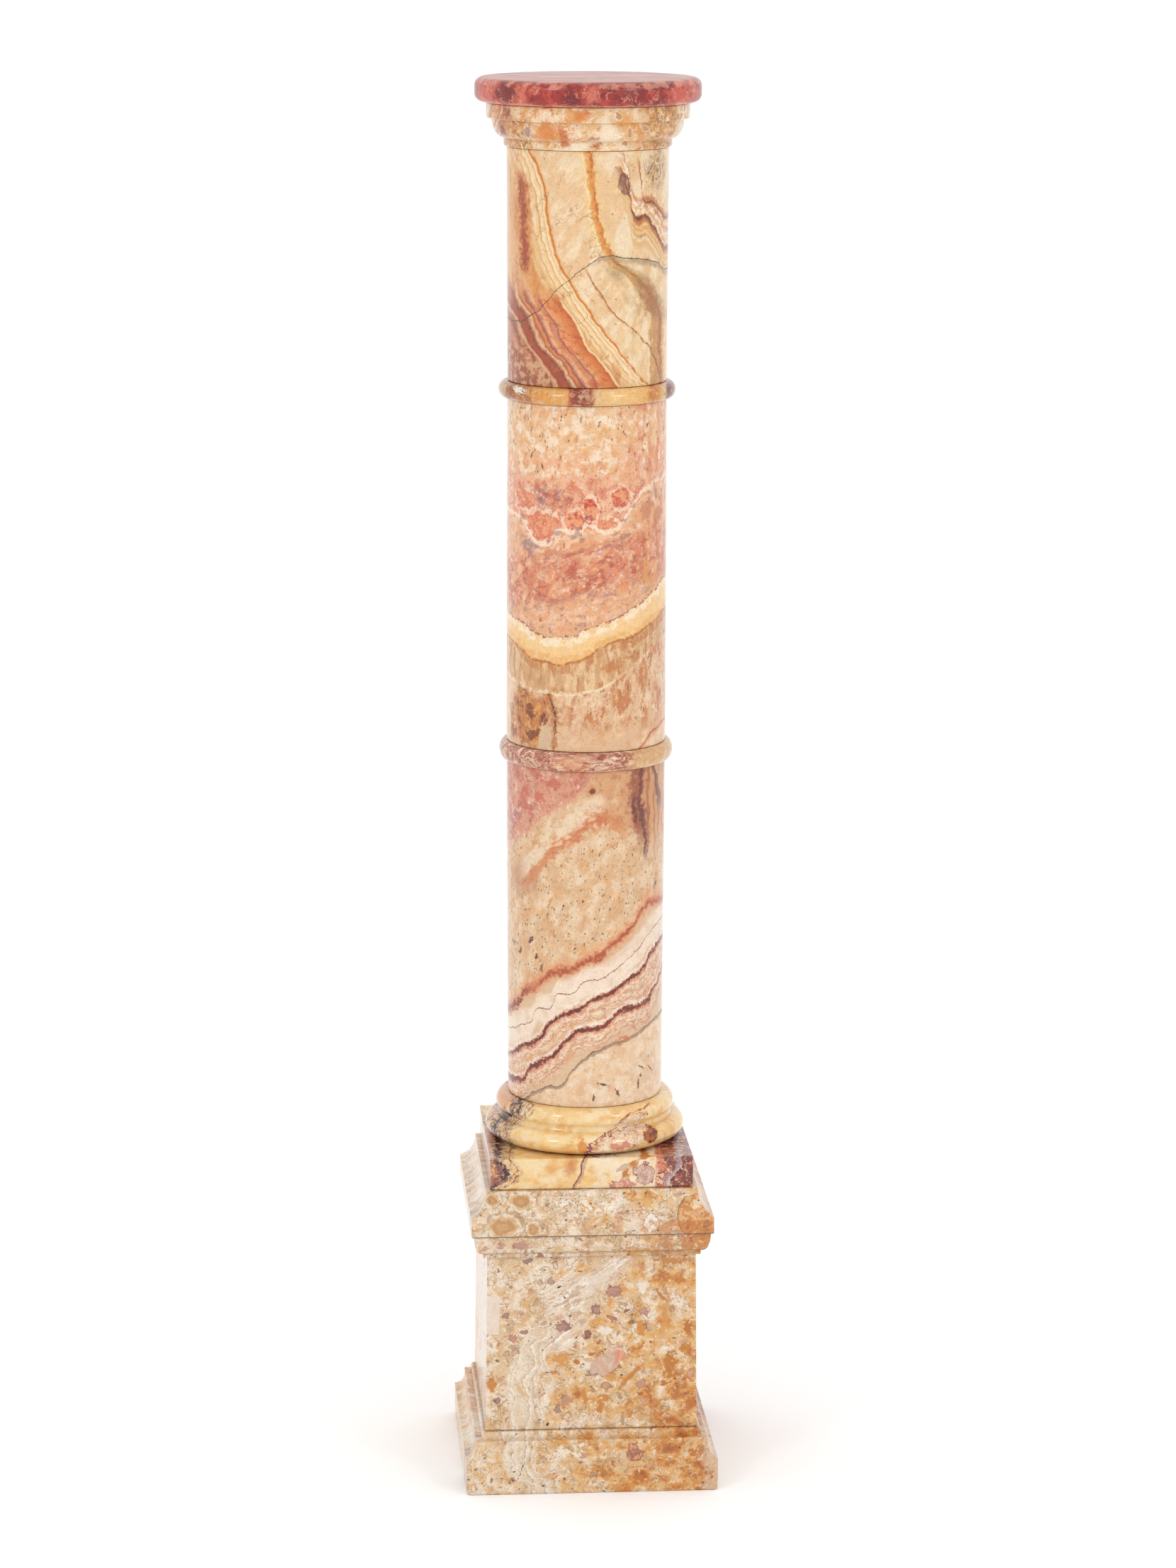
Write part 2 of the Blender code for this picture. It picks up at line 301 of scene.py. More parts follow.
def stone_object(name: str, mesh: bmesh.types.BMesh, smooth_angle: float = 32.0) -> bpy.types.Object:
    """Turn a finished bmesh into a shaded object at the origin.

    Args:
        name: the piece's name.
        mesh: the bmesh, which is freed.
        smooth_angle: faces meeting below this angle in degrees are shaded as one.

    Returns:
        The new object, linked to the scene.
    """
    bmesh.ops.recalc_face_normals(mesh, faces=mesh.faces[:])
    data = bpy.data.meshes.new(name)
    mesh.to_mesh(data)
    mesh.free()
    data.shade_smooth()
    data.set_sharp_from_angle(angle=math.radians(smooth_angle))
    made = bpy.data.objects.new(name, data)
    bpy.context.scene.collection.objects.link(made)
    return made


def heights(node: str) -> tuple[float, float]:
    """Return a node's foot and top in millimetres."""
    low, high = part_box(node)
    return low[2] / MM, high[2] / MM


def half_width(node: str) -> float:
    """Return half of a node's greatest width in millimetres."""
    low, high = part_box(node)
    return (high[0] - low[0]) / 2.0 / MM


def stand_in(piece: bpy.types.Object, nodes: tuple[str, ...], stone: Stone) -> None:
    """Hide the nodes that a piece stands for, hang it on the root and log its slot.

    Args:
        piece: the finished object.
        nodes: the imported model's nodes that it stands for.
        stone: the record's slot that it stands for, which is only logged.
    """
    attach(piece, "root")
    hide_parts(*nodes)
    LOG.info("%s: %d faces, %s", piece.name, len(piece.data.polygons), stone.value)


def linear(hex_colour: str) -> tuple[float, float, float, float]:
    """Return an sRGB hex colour as linear red, green, blue and alpha."""
    parts = [int(hex_colour[i:i + 2], 16) / 255.0 for i in (1, 3, 5)]
    bright = [p / 12.92 if p <= 0.04045 else ((p + 0.055) / 1.055) ** 2.4 for p in parts]
    return (*bright, 1.0)


@dataclass(frozen=True)
class Polish:
    """A hand-polished calcite face: a soft gloss, a little uneven, with fine grain.

    Sizes are in millimetres. Calcite's index of refraction is about 1.5 to 1.66.
    """

    roughness: float = 0.24
    smear: float = 0.12
    smear_size: float = 22.0
    grain_size: float = 0.9
    grain_depth: float = 0.012
    coat: float = 0.25
    coat_roughness: float = 0.08
    ior: float = 1.5
    speckle: float = 0.17
    fine_speckle: float = 1.1
    coarse_speckle: float = 4.5
    coarse_share: float = 0.6
    deepening: float = 1.34
    brightness: float = 0.94

    def dress(self, shader: bpy.types.ShaderNode) -> None:
        """Set the shader's constant values.

        Args:
            shader: the material's main shader node.
        """
        shader.inputs["Metallic"].default_value = 0.0
        shader.inputs["IOR"].default_value = self.ior
        shader.inputs["Coat Weight"].default_value = self.coat
        shader.inputs["Coat Roughness"].default_value = self.coat_roughness


class Figure:
    """The figure of one stone, laid on colour over colour with shader nodes.

    Its coordinates are the object's own, in millimetres, turned to the frame that
    the pedestal is seen in: across to the right, away from the camera, and up.
    Beyond the front the layers dip, so each side of a stone shows its own figure.
    """

    def __init__(
        self, name: str, ground: str, turn: float = VIEW_TURN, front: float = 0.0,
        dip: Place = (0.35, 0.0, 0.8), wobble: Point = (13.0, 1.5),
    ) -> None:
        """Start a material with a plain ground.

        Args:
            name: the material's name.
            ground: sRGB hex colour of the ground.
            turn: angle about Z from the object's own frame to the seen frame.
            front: how far away the layers begin to dip, in millimetres.
            dip: how far they move for each millimetre beyond that.
            wobble: size and reach of the swirls that every placed line follows.
        """
        self.material = bpy.data.materials.new(name)
        self.material.use_nodes = True
        self.tree = self.material.node_tree
        own = self.put("TexCoord", out="Object")
        seen = self.put("Mapping", own, named={"Rotation": (0.0, 0.0, turn), "Scale": (1.0 / MM,) * 3})
        away = self.put("SeparateXYZ", seen, out="Y")
        behind = self.put("Math", away, front, operation="SUBTRACT")
        behind = self.put("Math", behind, 0.0, operation="MAXIMUM")
        self.behind = behind
        self.height = self.put("SeparateXYZ", seen, out="Z")
        dipped = self.put("VectorMath", dip, named={"Scale": behind}, operation="SCALE")
        self.place = self.put("VectorMath", seen, dipped, operation="ADD")
        self.drift = self.stirred(wobble[0], wobble[1], 4.0)
        self.across = self.put("SeparateXYZ", self.drift, out="X")
        self.up = self.put("SeparateXYZ", self.drift, out="Z")
        self.colour: Socket | tuple = linear(ground)
        self.relief: Socket | float = 0.0
        self.dullness: Socket | float = 0.0

    def put(
        self, kind: str, *inputs: Socket | float | tuple | None, out: int | str = 0,
        named: dict | None = None, **settings: str | bool,
    ) -> Socket:
        """Add a node with its settings and links.

        Args:
            kind: the node's type, without its common start.
            inputs: values or sockets for its inputs, in order, None to leave one.
            out: name or number of the output that is wanted.
            named: values or sockets for inputs by name or number.
            settings: the node's own settings.

        Returns:
            The output socket.
        """
        node = self.tree.nodes.new("ShaderNode" + kind)
        for name, value in settings.items():
            setattr(node, name, value)
        for key, value in [*enumerate(inputs), *(named or {}).items()]:
            if isinstance(value, Socket):
                self.tree.links.new(value, node.inputs[key])
            elif value is not None:
                node.inputs[key].default_value = value
        return node.outputs[out]

    def ramp(self, value: Socket, low: float, high: float) -> Socket:
        """Return a soft rise from nought at low to one at high, or a fall where low is the greater."""
        return self.put("MapRange", value, low, high, 0.0, 1.0, interpolation_type="SMOOTHSTEP")

    def both(self, first: Socket, *others: Socket | float) -> Socket:
        """Return the strength of several masks together."""
        for other in others:
            first = self.put("Math", first, other, operation="MULTIPLY")
        return first

    def within(self, value: Socket, low: float, high: float, fade: float) -> Socket:
        """Return one between two values, fading in and out beyond them."""
        return self.both(self.ramp(value, low - fade, low), self.ramp(value, high + fade, high))

    def shaped(
        self, stretch: Place, tilt: float = 0.0, shift: Place = (0.0, 0.0, 0.0),
        vector: Socket | None = None,
    ) -> Socket:
        """Return places for a pattern that is stretched and leant.

        Args:
            stretch: how many times longer the pattern is across, away and up.
            tilt: its lean in the seen plane, in degrees, anticlockwise.
            shift: the pattern's middle, in millimetres.
            vector: the places that are changed, or None for the stone's own.

        Returns:
            The changed places.
        """
        lean = (0.0, -math.radians(tilt), 0.0)
        return self.put("Mapping", vector or self.place, shift, lean, stretch, vector_type="TEXTURE")

    def noise(
        self, size: float, detail: float = 3.0, vector: Socket | None = None, rough: float = 0.55,
    ) -> Socket:
        """Return soft noise with swirls of a size in millimetres, about nought to one.

        Args:
            size: how wide its swirls are, in millimetres.
            detail: how many finer swirls ride on them.
            vector: the places, or None for the stone's own.
            rough: how strong the finer swirls are, nought to one.

        Returns:
            The noise.
        """
        return self.put(
            "TexNoise", vector or self.place, out="Fac",
            named={"Scale": 1.0 / size, "Detail": detail, "Roughness": rough},
        )

    def stirred(
        self, size: float, reach: float, detail: float = 2.0, vector: Socket | None = None,
    ) -> Socket:
        """Return places pushed about by soft noise.

        Args:
            size: how wide the noise's swirls are, in millimetres.
            reach: how far they push, in millimetres.
            detail: how many finer swirls ride on them.
            vector: the places that are pushed, or None for the stone's own.

        Returns:
            The pushed places.
        """
        start = vector or self.place
        swirl = self.put("TexNoise", start, out="Color", named={"Scale": 1.0 / size, "Detail": detail})
        swirl = self.put("CombineXYZ", *self.put("SeparateColor", swirl).node.outputs)
        centred = self.put("VectorMath", swirl, (0.5, 0.5, 0.5), operation="SUBTRACT")
        return self.put("VectorMath", centred, (4.0 * reach,) * 3, start, operation="MULTIPLY_ADD")

    def cloud(
        self, size: float, low: float = 0.45, high: float = 0.6, detail: float = 6.0,
        vector: Socket | None = None,
    ) -> Socket:
        """Return soft patches of a size in millimetres, that begin at low and are full at high."""
        return self.ramp(self.noise(size, detail, vector, 0.62), low, high)

    def freckles(self, size: float, low: float = 0.56, vector: Socket | None = None) -> Socket:
        """Return crisp, ragged specks in clusters about as wide as size, in millimetres."""
        return self.ramp(self.noise(size, 9.0, vector, 0.82), low, low + 0.05)

    def coats(
        self, spacing: float, count: float, vector: Socket | None = None, low: float = 0.5,
        high: float = 0.6,
    ) -> Socket:
        """Return nested coats round packed pebbles.

        Args:
            spacing: distance from one pebble to the next, in millimetres.
            count: how many coats lie round each.
            vector: the places, or None for the stone's own.
            low: value where a coat begins.
            high: value where it is full.

        Returns:
            The coats' strength.
        """
        where = vector or self.drift
        reach = self.put("TexVoronoi", where, out="Distance", named={"Scale": 1.0 / spacing})
        tone = self.put("TexVoronoi", where, out="Color", named={"Scale": 1.0 / spacing})
        apart = self.put("Math", self.put("SeparateColor", tone), 40.0, operation="MULTIPLY")
        return self.stripes(
            self.put("Math", reach, 2.0 * count, apart, operation="MULTIPLY_ADD"), 1.0, low, high,
        )

    def threads(
        self, size: float, width: float, detail: float = 3.0, vector: Socket | None = None,
        level: float = 0.5,
    ) -> Socket:
        """Return thin wandering lines along one level of soft noise.

        Args:
            size: how far apart the lines run, in millimetres.
            width: a line's half width, in noise values.
            detail: how ragged the lines are.
            vector: the places, or None for the stone's own.
            level: the noise value that the lines follow.

        Returns:
            The lines' strength.
        """
        return self.close_to(self.noise(size, detail, vector), level, width)

    def close_to(self, value: Socket, at: Socket | float, width: float, soft: float = 1.0) -> Socket:
        """Return one where a value is within a width of another, fading out at its sides."""
        gap = self.put("Math", value, at, operation="SUBTRACT")
        gap = self.put("Math", gap, operation="ABSOLUTE")
        return self.ramp(gap, width * (1.0 + soft), width * (1.0 - soft))

    def stripes(self, value: Socket, size: float, low: float = 0.42, high: float = 0.6) -> Socket:
        """Return uneven stripes along a value, each about as wide as size.

        Args:
            value: what the stripes follow.
            size: a stripe's width, in the value's own unit.
            low: noise value where a stripe begins.
            high: noise value where it is full.

        Returns:
            The stripes' strength.
        """
        line = self.put(
            "TexNoise", out="Fac", noise_dimensions="1D",
            named={"W": value, "Scale": 1.0 / size, "Detail": 2.0},
        )
        return self.ramp(line, low, high)

    def contours(
        self, size: float, bands: float, low: float = 0.45, high: float = 0.6, vector: Socket | None = None,
    ) -> Socket:
        """Return agate's nested bands: stripes along the heights of soft noise.

        Args:
            size: how wide a nest is, in millimetres.
            bands: how many bands it holds.
            low: value where a band begins.
            high: value where it is full.
            vector: the places, or None for the stone's own.

        Returns:
            The bands' strength.
        """
        heap = self.put("Math", self.noise(size, 1.5, vector), 4.0 * bands, operation="MULTIPLY")
        return self.stripes(heap, 1.0, low, high)

    def grains(
        self, spacing: float, size: float, share: float, vector: Socket | None = None, soft: float = 0.4,
    ) -> Socket:
        """Return scattered grains or pits.

        Args:
            spacing: distance from one to the next, in millimetres.
            size: a grain's radius as a share of the spacing.
            share: how many of the places hold a grain, nought to one.
            vector: the places, or None for the stone's own.
            soft: how far a grain's edge fades, as a share of its radius.

        Returns:
            The grains' strength.
        """
        where = vector or self.drift
        near = self.put("TexVoronoi", where, out="Distance", named={"Scale": 1.0 / spacing})
        tone = self.put("TexVoronoi", where, out="Color", named={"Scale": 1.0 / spacing})
        kept = self.put("Math", self.put("SeparateColor", tone), share, operation="LESS_THAN")
        return self.both(self.ramp(near, size * (1.0 + soft), size * (1.0 - soft)), kept)

    def shards(self, spacing: float, gap: float, vector: Socket | None = None) -> tuple[Socket, Socket]:
        """Return broken pieces packed side by side.

        Args:
            spacing: distance from one piece to the next, in millimetres.
            gap: half the width of the seams, as a share of the spacing.
            vector: the places, or None for the stone's own.

        Returns:
            One random value for each piece, and the strength of the seams.
        """
        where = vector or self.drift
        tone = self.put("TexVoronoi", where, out="Color", named={"Scale": 1.0 / spacing})
        edge = self.put(
            "TexVoronoi", where, out="Distance", feature="DISTANCE_TO_EDGE",
            named={"Scale": 1.0 / spacing},
        )
        return self.put("SeparateColor", tone), self.ramp(edge, gap * 1.6, gap * 0.4)

    def tones(self, value: Socket, stops: list[tuple[float, str]]) -> Socket:
        """Return colours along a value, from stops of a value and an sRGB hex colour in order.

        Args:
            value: what the colours follow.
            stops: a value and an sRGB hex colour each, in order.

        Returns:
            The colour.
        """
        low, high = stops[0][0], stops[-1][0]
        ramp = self.put("ValToRGB", self.put("MapRange", value, low, high, 0.0, 1.0))
        elements = ramp.node.color_ramp.elements
        elements.remove(elements[1])
        for index, (at, tone) in enumerate(stops):
            position = (at - low) / (high - low)
            element = elements[0] if index == 0 else elements.new(position)
            element.position = position
            element.color = linear(tone)
        return ramp

    def outlined(self, reach: Socket, tone: str, outline: str, strength: float) -> Socket:
        """Return a patch's colour, with an outline of a strength where its reach nears one.

        Args:
            reach: distance from the patch's middle, one at its edge.
            tone: sRGB hex colour of the patch.
            outline: sRGB hex colour of its outline.
            strength: how far the outline covers, nought to one.

        Returns:
            The colour.
        """
        colours = self.put("ValToRGB", reach)
        inner, outer = colours.node.color_ramp.elements
        inner.position, inner.color = 0.78, linear(tone)
        outer.position = 0.88
        outer.color = [a + strength * (b - a) for a, b in zip(linear(tone), linear(outline))]
        return colours

    def trace(self, along: Socket, path: Sequence[Point]) -> Socket:
        """Return a smooth path's second coordinate for each first one, in millimetres.

        Args:
            along: the first coordinate, in millimetres.
            path: points of the path, each a first and a second coordinate.

        Returns:
            The second coordinate, in millimetres.
        """
        spots = sorted(path)
        low, high = spots[0][0], spots[-1][0]
        seconds = [second for _, second in spots]
        least, most = min(seconds) - 1.0, max(seconds) + 1.0
        part = self.put("MapRange", along, low, high, 0.0, 1.0)
        curve = self.put("FloatCurve", 1.0, part)
        mapping = curve.node.mapping
        points = mapping.curves[0].points
        for index, (first, second) in enumerate(spots):
            spot = ((first - low) / (high - low), (second - least) / (most - least))
            if index < 2:
                points[index].location = spot
            else:
                points.new(*spot)
        mapping.update()
        return self.put("Math", curve, most - least, least, operation="MULTIPLY_ADD")

    def above(self, *path: Point) -> Socket:
        """Return how far a place lies above a path of points across and up, in millimetres."""
        return self.put("Math", self.up, self.trace(self.across, path), operation="SUBTRACT")

    def right_of(self, *path: Point) -> Socket:
        """Return how far a place lies to the right of a steep path, in millimetres."""
        turned = [(height, reach) for reach, height in path]
        return self.put("Math", self.across, self.trace(self.up, turned), operation="SUBTRACT")

    def strayed(self, field: Socket, size: float, reach: float, detail: float = 4.0) -> Socket:
        """Return a field of distances that wanders by reach, in swirls of a size, in millimetres."""
        stray = self.put("Math", self.noise(size, detail, rough=0.65), 0.5, operation="SUBTRACT")
        return self.put("Math", stray, 4.0 * reach, field, operation="MULTIPLY_ADD")

    def line(
        self, field: Socket, at: float, width: float, ragged: float = 0.3, grit: float = 2.0,
        soft: float = 0.5,
    ) -> Socket:
        """Return a line along a field of distances, with a ragged edge.

        Args:
            field: distance from the line's path, in millimetres.
            at: where across the field the line runs.
            width: half its width.
            ragged: how far its edge strays, as a share of the width.
            grit: size of the raggedness, in millimetres.
            soft: how far its edge fades, as a share of the width.

        Returns:
            The line's strength.
        """
        stray = self.put("Math", self.noise(grit, 2.0), 0.5, operation="SUBTRACT")
        gap = self.put("Math", field, at, operation="SUBTRACT")
        gap = self.put("Math", gap, operation="ABSOLUTE")
        gap = self.put("Math", stray, 4.0 * ragged * width, gap, operation="MULTIPLY_ADD")
        return self.ramp(gap, width * (1.0 + soft), width * (1.0 - soft))

    def spot(
        self, centre: Point, radii: Point, tilt: float = 0.0, soft: float = 0.15, ragged: float = 0.25,
        depth: float = 40.0, front: float = -60.0,
    ) -> Socket:
        """Return one rounded patch at a place on the stone's front.

        Args:
            centre: its middle across and up, in millimetres.
            radii: half its size across and up, in millimetres.
            tilt: its lean in the seen plane, in degrees, anticlockwise.
            soft: how far its edge fades, as a share of its radius.
            ragged: how far its edge strays, as a share of its radius.
            depth: how deep it reaches into the stone, in millimetres.
            front: how far away its middle lies, in millimetres.

        Returns:
            The patch's strength.
        """
        stray = self.put("Math", self.noise(0.5 * min(radii) + 1.0, 2.0), 0.5, operation="SUBTRACT")
        reach = self.reach(centre, radii, tilt, stray, ragged, depth, front)
        return self.ramp(reach, 1.0 + soft, 1.0 - soft)

    def reach(
        self, centre: Point, radii: Point, tilt: float, stray: Socket, ragged: float,
        depth: float = 40.0, front: float = -60.0,
    ) -> Socket:
        """Return how far a place lies from a patch's middle, one at its edge.

        Args:
            centre: its middle across and up, in millimetres.
            radii: half its size across and up, in millimetres.
            tilt: its lean in the seen plane, in degrees, anticlockwise.
            stray: soft noise about nought that makes the edge wander.
            ragged: how far the edge strays, as a share of its radius.
            depth: how deep it reaches into the stone, in millimetres.
            front: how far away its middle lies, in millimetres.

        Returns:
            The distance, as a share of the radius.
        """
        own = self.shaped((radii[0], depth, radii[1]), tilt, (centre[0], front, centre[1]), self.drift)
        reach = self.put("VectorMath", own, out="Value", operation="LENGTH")
        return self.put("Math", stray, 2.0 * ragged, reach, operation="MULTIPLY_ADD")

    def rim(self, patch: Socket) -> Socket:
        """Return the outline of a soft patch, strongest where the patch is half strong."""
        return self.close_to(patch, 0.5, 0.25)

    def lay(self, colour: str | Socket, share: float, *masks: Socket) -> None:
        """Lay a colour over what is there, where all its masks are strong, covering by its share.

        Args:
            colour: an sRGB hex colour, or the socket of one.
            share: how far it covers, nought to one.
            masks: strengths that are multiplied.
        """
        tone = linear(colour) if isinstance(colour, str) else colour
        mask = self.both(*masks)
        cover = self.put("Math", mask, share, operation="MULTIPLY") if share < 1.0 else mask
        self.colour = self.put("Mix", cover, named={6: self.colour, 7: tone}, out=2, data_type="RGBA")

    def dig(self, mask: Socket, depth: float, dull: float = 0.0) -> None:
        """Sink the surface by depth in millimetres where a mask is strong, and dull its polish."""
        self.relief = self.put("Math", mask, -depth, self.relief, operation="MULTIPLY_ADD")
        if dull > 0.0:
            self.dullness = self.put("Math", mask, dull, self.dullness, operation="MULTIPLY_ADD")

    def finish(self, polish: Polish) -> bpy.types.Material:
        """Join the colour, relief and polish to the shader and return the material.

        Args:
            polish: the polish of the stone's faces.

        Returns:
            The finished material.
        """
        shader = self.tree.nodes["Principled BSDF"]
        polish.dress(shader)
        self.colour = self.put("Gamma", self.colour, polish.deepening)
        for size, strength in (
            (polish.fine_speckle, polish.speckle),
            (polish.coarse_speckle, polish.coarse_share * polish.speckle),
        ):
            grit = self.put(
                "MapRange", self.noise(size, 5.0, rough=0.75), 0.3, 0.7, 1.0 - strength, 1.0 + strength,
            )
            grit = self.put("Math", grit, polish.brightness, operation="MULTIPLY")
            self.colour = self.put("VectorMath", self.colour, named={"Scale": grit}, operation="SCALE")
        self.tree.links.new(self.colour, shader.inputs["Base Color"])
        smears = self.put(
            "Math", self.noise(polish.smear_size), polish.smear, polish.roughness - 0.5 * polish.smear,
            operation="MULTIPLY_ADD",
        )
        rough = self.put("Math", smears, self.dullness, operation="ADD", use_clamp=True)
        self.tree.links.new(rough, shader.inputs["Roughness"])
        grain = self.noise(polish.grain_size, 2.0)
        height = self.put("Math", grain, polish.grain_depth, self.relief, operation="MULTIPLY_ADD")
        normal = self.put("Bump", named={"Strength": 1.0, "Distance": MM, "Height": height})
        self.tree.links.new(normal, shader.inputs["Normal"])
        return self.material


@dataclass(frozen=True)
class OrangeLinedOnyx:
    """The upper drum: cream onyx crossed by orange growth lines that fan to the right.

    Each line is one stop in the spring's growth, so it is sharp on the side where it
    ended and soft on the other. The drum was turned across them and polished.
    """

    cream: str = "#EBCBA4"
    orange: str = "#DE9C50"
    brown: str = "#A1683F"

    def make(self) -> bpy.types.Material:
        """Return the finished material.

        Returns:
            The material, figured and polished.
        """
        f = Figure("polished_orange_lined_onyx", self.cream, wobble=(11, 1.3))
        f.lay("#E6C79E", 0.6, f.cloud(34))
        f.lay("#F3DDB0", 0.5, f.cloud(16), f.ramp(f.across, 10, 40))
        f.lay("#F6E8D0", 0.6, f.cloud(13, vector=f.shaped((1, 1, 2.5), -30)))
        f.lay("#D9B88F", 0.4, f.freckles(7, 0.58))
        first = f.right_of(
            (-45, 1076), (-38, 1062), (-34, 1050), (-28, 1010), (-20, 988), (0, 955), (30, 915),
            (48, 893),
        )
        second = f.right_of(
            (0, 1076), (2, 1060), (5, 1035), (10, 1010), (20, 993), (41, 976), (57, 949),
        )
        band = f.right_of((-24, 975), (-20, 960), (-10, 945), (0, 925), (12, 912), (25, 893))
        low = f.ramp(f.put("Math", f.noise(16), 40, f.up, operation="MULTIPLY_ADD"), 1000, 972)
        self.first_lines(f, first)
        self.low_left(f, band, low)
        self.second_line(f, second)
        self.upper_right(f)
        crack = f.above(
            (-52, 942), (-38, 953), (-20, 972), (0, 988), (15, 995), (30, 994), (50, 990), (60, 982),
        )
        f.lay("#B09A7A", 0.6, f.line(crack, -2, 2, 0.6, 4, 0.9), f.ramp(f.across, 0, 14))
        mend = f.line(crack, 0, 0.4, 0.8, 1.5)
        f.lay("#6E5638", 0.85, mend)
        f.dig(mend, 0.12, 0.2)
        hairs = f.threads(24, 0.006, 5, f.shaped((1, 1, 1.6), -50))
        f.lay("#B98A5C", 0.6, hairs, f.cloud(20, 0.45, 0.55))
        pits = f.grains(5, 0.1, 0.2, f.shaped((1, 1, 1.7), 30))
        f.lay("#7C5338", 0.7, pits)
        f.dig(pits, 0.12, 0.1)
        return f.finish(Polish())

    def first_lines(self, f: Figure, first: Socket) -> None:
        """Lay on the bundle of gold lines left of the first orange one, and the rust streak.

        Args:
            f: the figure that it is laid on.
            first: how far right of the first orange line, in millimetres.
        """
        uneven = f.put("Math", f.noise(19, 2), 7, -3.5, operation="MULTIPLY_ADD")
        field = f.put("Math", first, f.both(uneven, f.ramp(first, 0, -8)), operation="ADD")
        lines = f.tones(field, [
            (-30, "#E6B98A"), (-25, "#E0AA6E"), (-21, "#EED2A4"), (-18, "#E4B478"), (-15, "#F2DDBC"),
            (-13.2, "#E4B06E"), (-12, "#F3E2C6"), (-8.6, "#EECB94"), (-7.8, "#E0A65E"),
            (-7.2, "#F4E4CA"), (-4.2, "#EFD2A2"), (-3.6, "#E5B272"), (-3, "#F5E8D2"),
            (-1.8, "#EFCF98"), (-0.9, "#E39A42"), (-0.2, "#C4722E"), (0.5, "#EBB87A"),
            (2.6, "#EFD4B6"),
        ])
        f.lay(lines, 0.95, f.ramp(first, 2.6, 1.6))
        left = f.ramp(first, -8, -14)
        f.lay("#E8C593", 0.7, left, f.cloud(9, 0.45, 0.6, vector=f.shaped((1, 1, 3.5))))
        f.lay("#D58F4F", 0.7, left, f.cloud(8, 0.54, 0.66, vector=f.shaped((1, 1, 3.5), 0, (3, 0, 40))))
        streak = f.right_of((-53, 1062), (-50, 1020), (-49, 978))
        high = f.within(f.up, 988, 1050, 12)
        f.lay("#D78A4B", 0.8, f.line(streak, 0.8, 4.6, 0.6, 6, 0.7), high)
        f.lay("#B25B34", 0.9, f.line(streak, 0, 2.4, 1.1, 3, 0.8), high)
        f.lay("#E3A35A", 0.7, f.spot((-42, 972), (6, 12), 25, 0.6, 0.8), f.cloud(5, 0.4, 0.5))

    def low_left(self, f: Figure, band: Socket, low: Socket) -> None:
        """Lay on the lower left's bundle of rust, mauve, cream and brick bands.

        Args:
            f: the figure that it is laid on.
            band: how far right of the bundle's edge, in millimetres.
            low: strength that grows towards the foot.
        """
        uneven = f.put("Math", f.noise(15, 3), 8, -4, operation="MULTIPLY_ADD")
        field = f.put("Math", band, f.both(uneven, f.ramp(band, 0, -8)), operation="ADD")
        bands = f.tones(field, [
            (-62, "#B26A4E"), (-55, "#CF8E6C"), (-51, "#A04F3C"), (-47, "#E6BE92"), (-45, "#AE5840"),
            (-40, "#B9623E"), (-37, "#A04C36"), (-33.5, "#EDCDA6"), (-31.5, "#C0704A"),
            (-29, "#E3A274"), (-27, "#B05E40"), (-24.5, "#DCAC98"), (-23, "#EBC29A"), (-20, "#E39A62"),
            (-17.5, "#CF9C90"), (-16.4, "#B4684A"), (-15, "#EBB184"), (-10, "#E59E66"),
            (-5, "#DC8C50"), (-1.2, "#D07A3C"), (-0.3, "#F2DCB8"), (1.4, "#EFD1A2"), (2, "#C8894C"),
            (2.6, "#EDCDA0"),
        ])
        f.lay(bands, 0.95, f.ramp(band, 2.6, 1.8), low)
        brushed = f.cloud(3.6, 0.48, 0.62, vector=f.shaped((3, 1, 1), -20))
        f.lay("#C8622E", 0.6, f.within(band, -24, -1.5, 2), low, brushed)
        f.lay("#8E3E2A", 0.6, f.within(band, -44, -26, 2), low, f.freckles(6, 0.56))
        f.lay("#EDC49C", 0.5, f.ramp(band, -2, -4), low, f.freckles(5, 0.58))
        corner = f.both(f.ramp(band, -44, -52), low, f.ramp(f.up, 935, 920))
        f.lay("#DDBB96", 0.8, corner, f.cloud(6, 0.48, 0.56))
        f.lay("#3E2A24", 0.8, corner, f.freckles(7, 0.6))

    def second_line(self, f: Figure, second: Socket) -> None:
        """Lay on the second, wider orange line and the thin third one, with the shade between.

        Args:
            f: the figure that it is laid on.
            second: how far right of the second orange line, in millimetres.
        """
        f.lay("#F1D29C", 0.75, f.line(second, -1, 6.5, 0.6, 9, 0.8))
        high = f.ramp(f.up, 985, 1005)
        second = f.strayed(second, 7, 0.9)
        f.lay("#F5E6CC", 0.7, f.line(second, -3.2, 1.4, 0.9, 5), high)
        f.lay(self.orange, 0.9, f.line(second, 0.4, 2.3, 1, 4, 0.6), f.cloud(13, 0.3, 0.45))
        f.lay("#C9742C", 0.8, f.line(second, 1.6, 0.9, 1.4, 3, 0.6), high, f.cloud(9, 0.42, 0.52))
        f.lay("#EBB45A", 0.7, f.line(second, -2, 1.3, 1, 4, 0.8), high)
        turned = f.ramp(f.up, 1004, 982)
        f.lay(self.brown, 0.9, f.line(second, 0, 1, 0.7, 3), turned)
        f.lay("#C79250", 0.75, f.within(second, -6.5, -1, 2.5), turned, f.cloud(8, 0.35, 0.5))
        f.lay(
            "#BBA27C", 0.65, f.within(second, -16, 4, 7), f.within(f.up, 945, 985, 8),
            f.cloud(14, 0.4, 0.6),
        )
        third = f.right_of((-3, 986), (10, 967), (22, 950), (38, 935), (50, 920), (57, 895))
        under = f.ramp(f.up, 990, 975)
        f.lay("#DFB07A", 0.7, f.line(third, -0.4, 1.3, 0.6, 4), under)
        f.lay("#A86A3C", 0.85, f.line(third, 0, 0.55, 0.6), under)
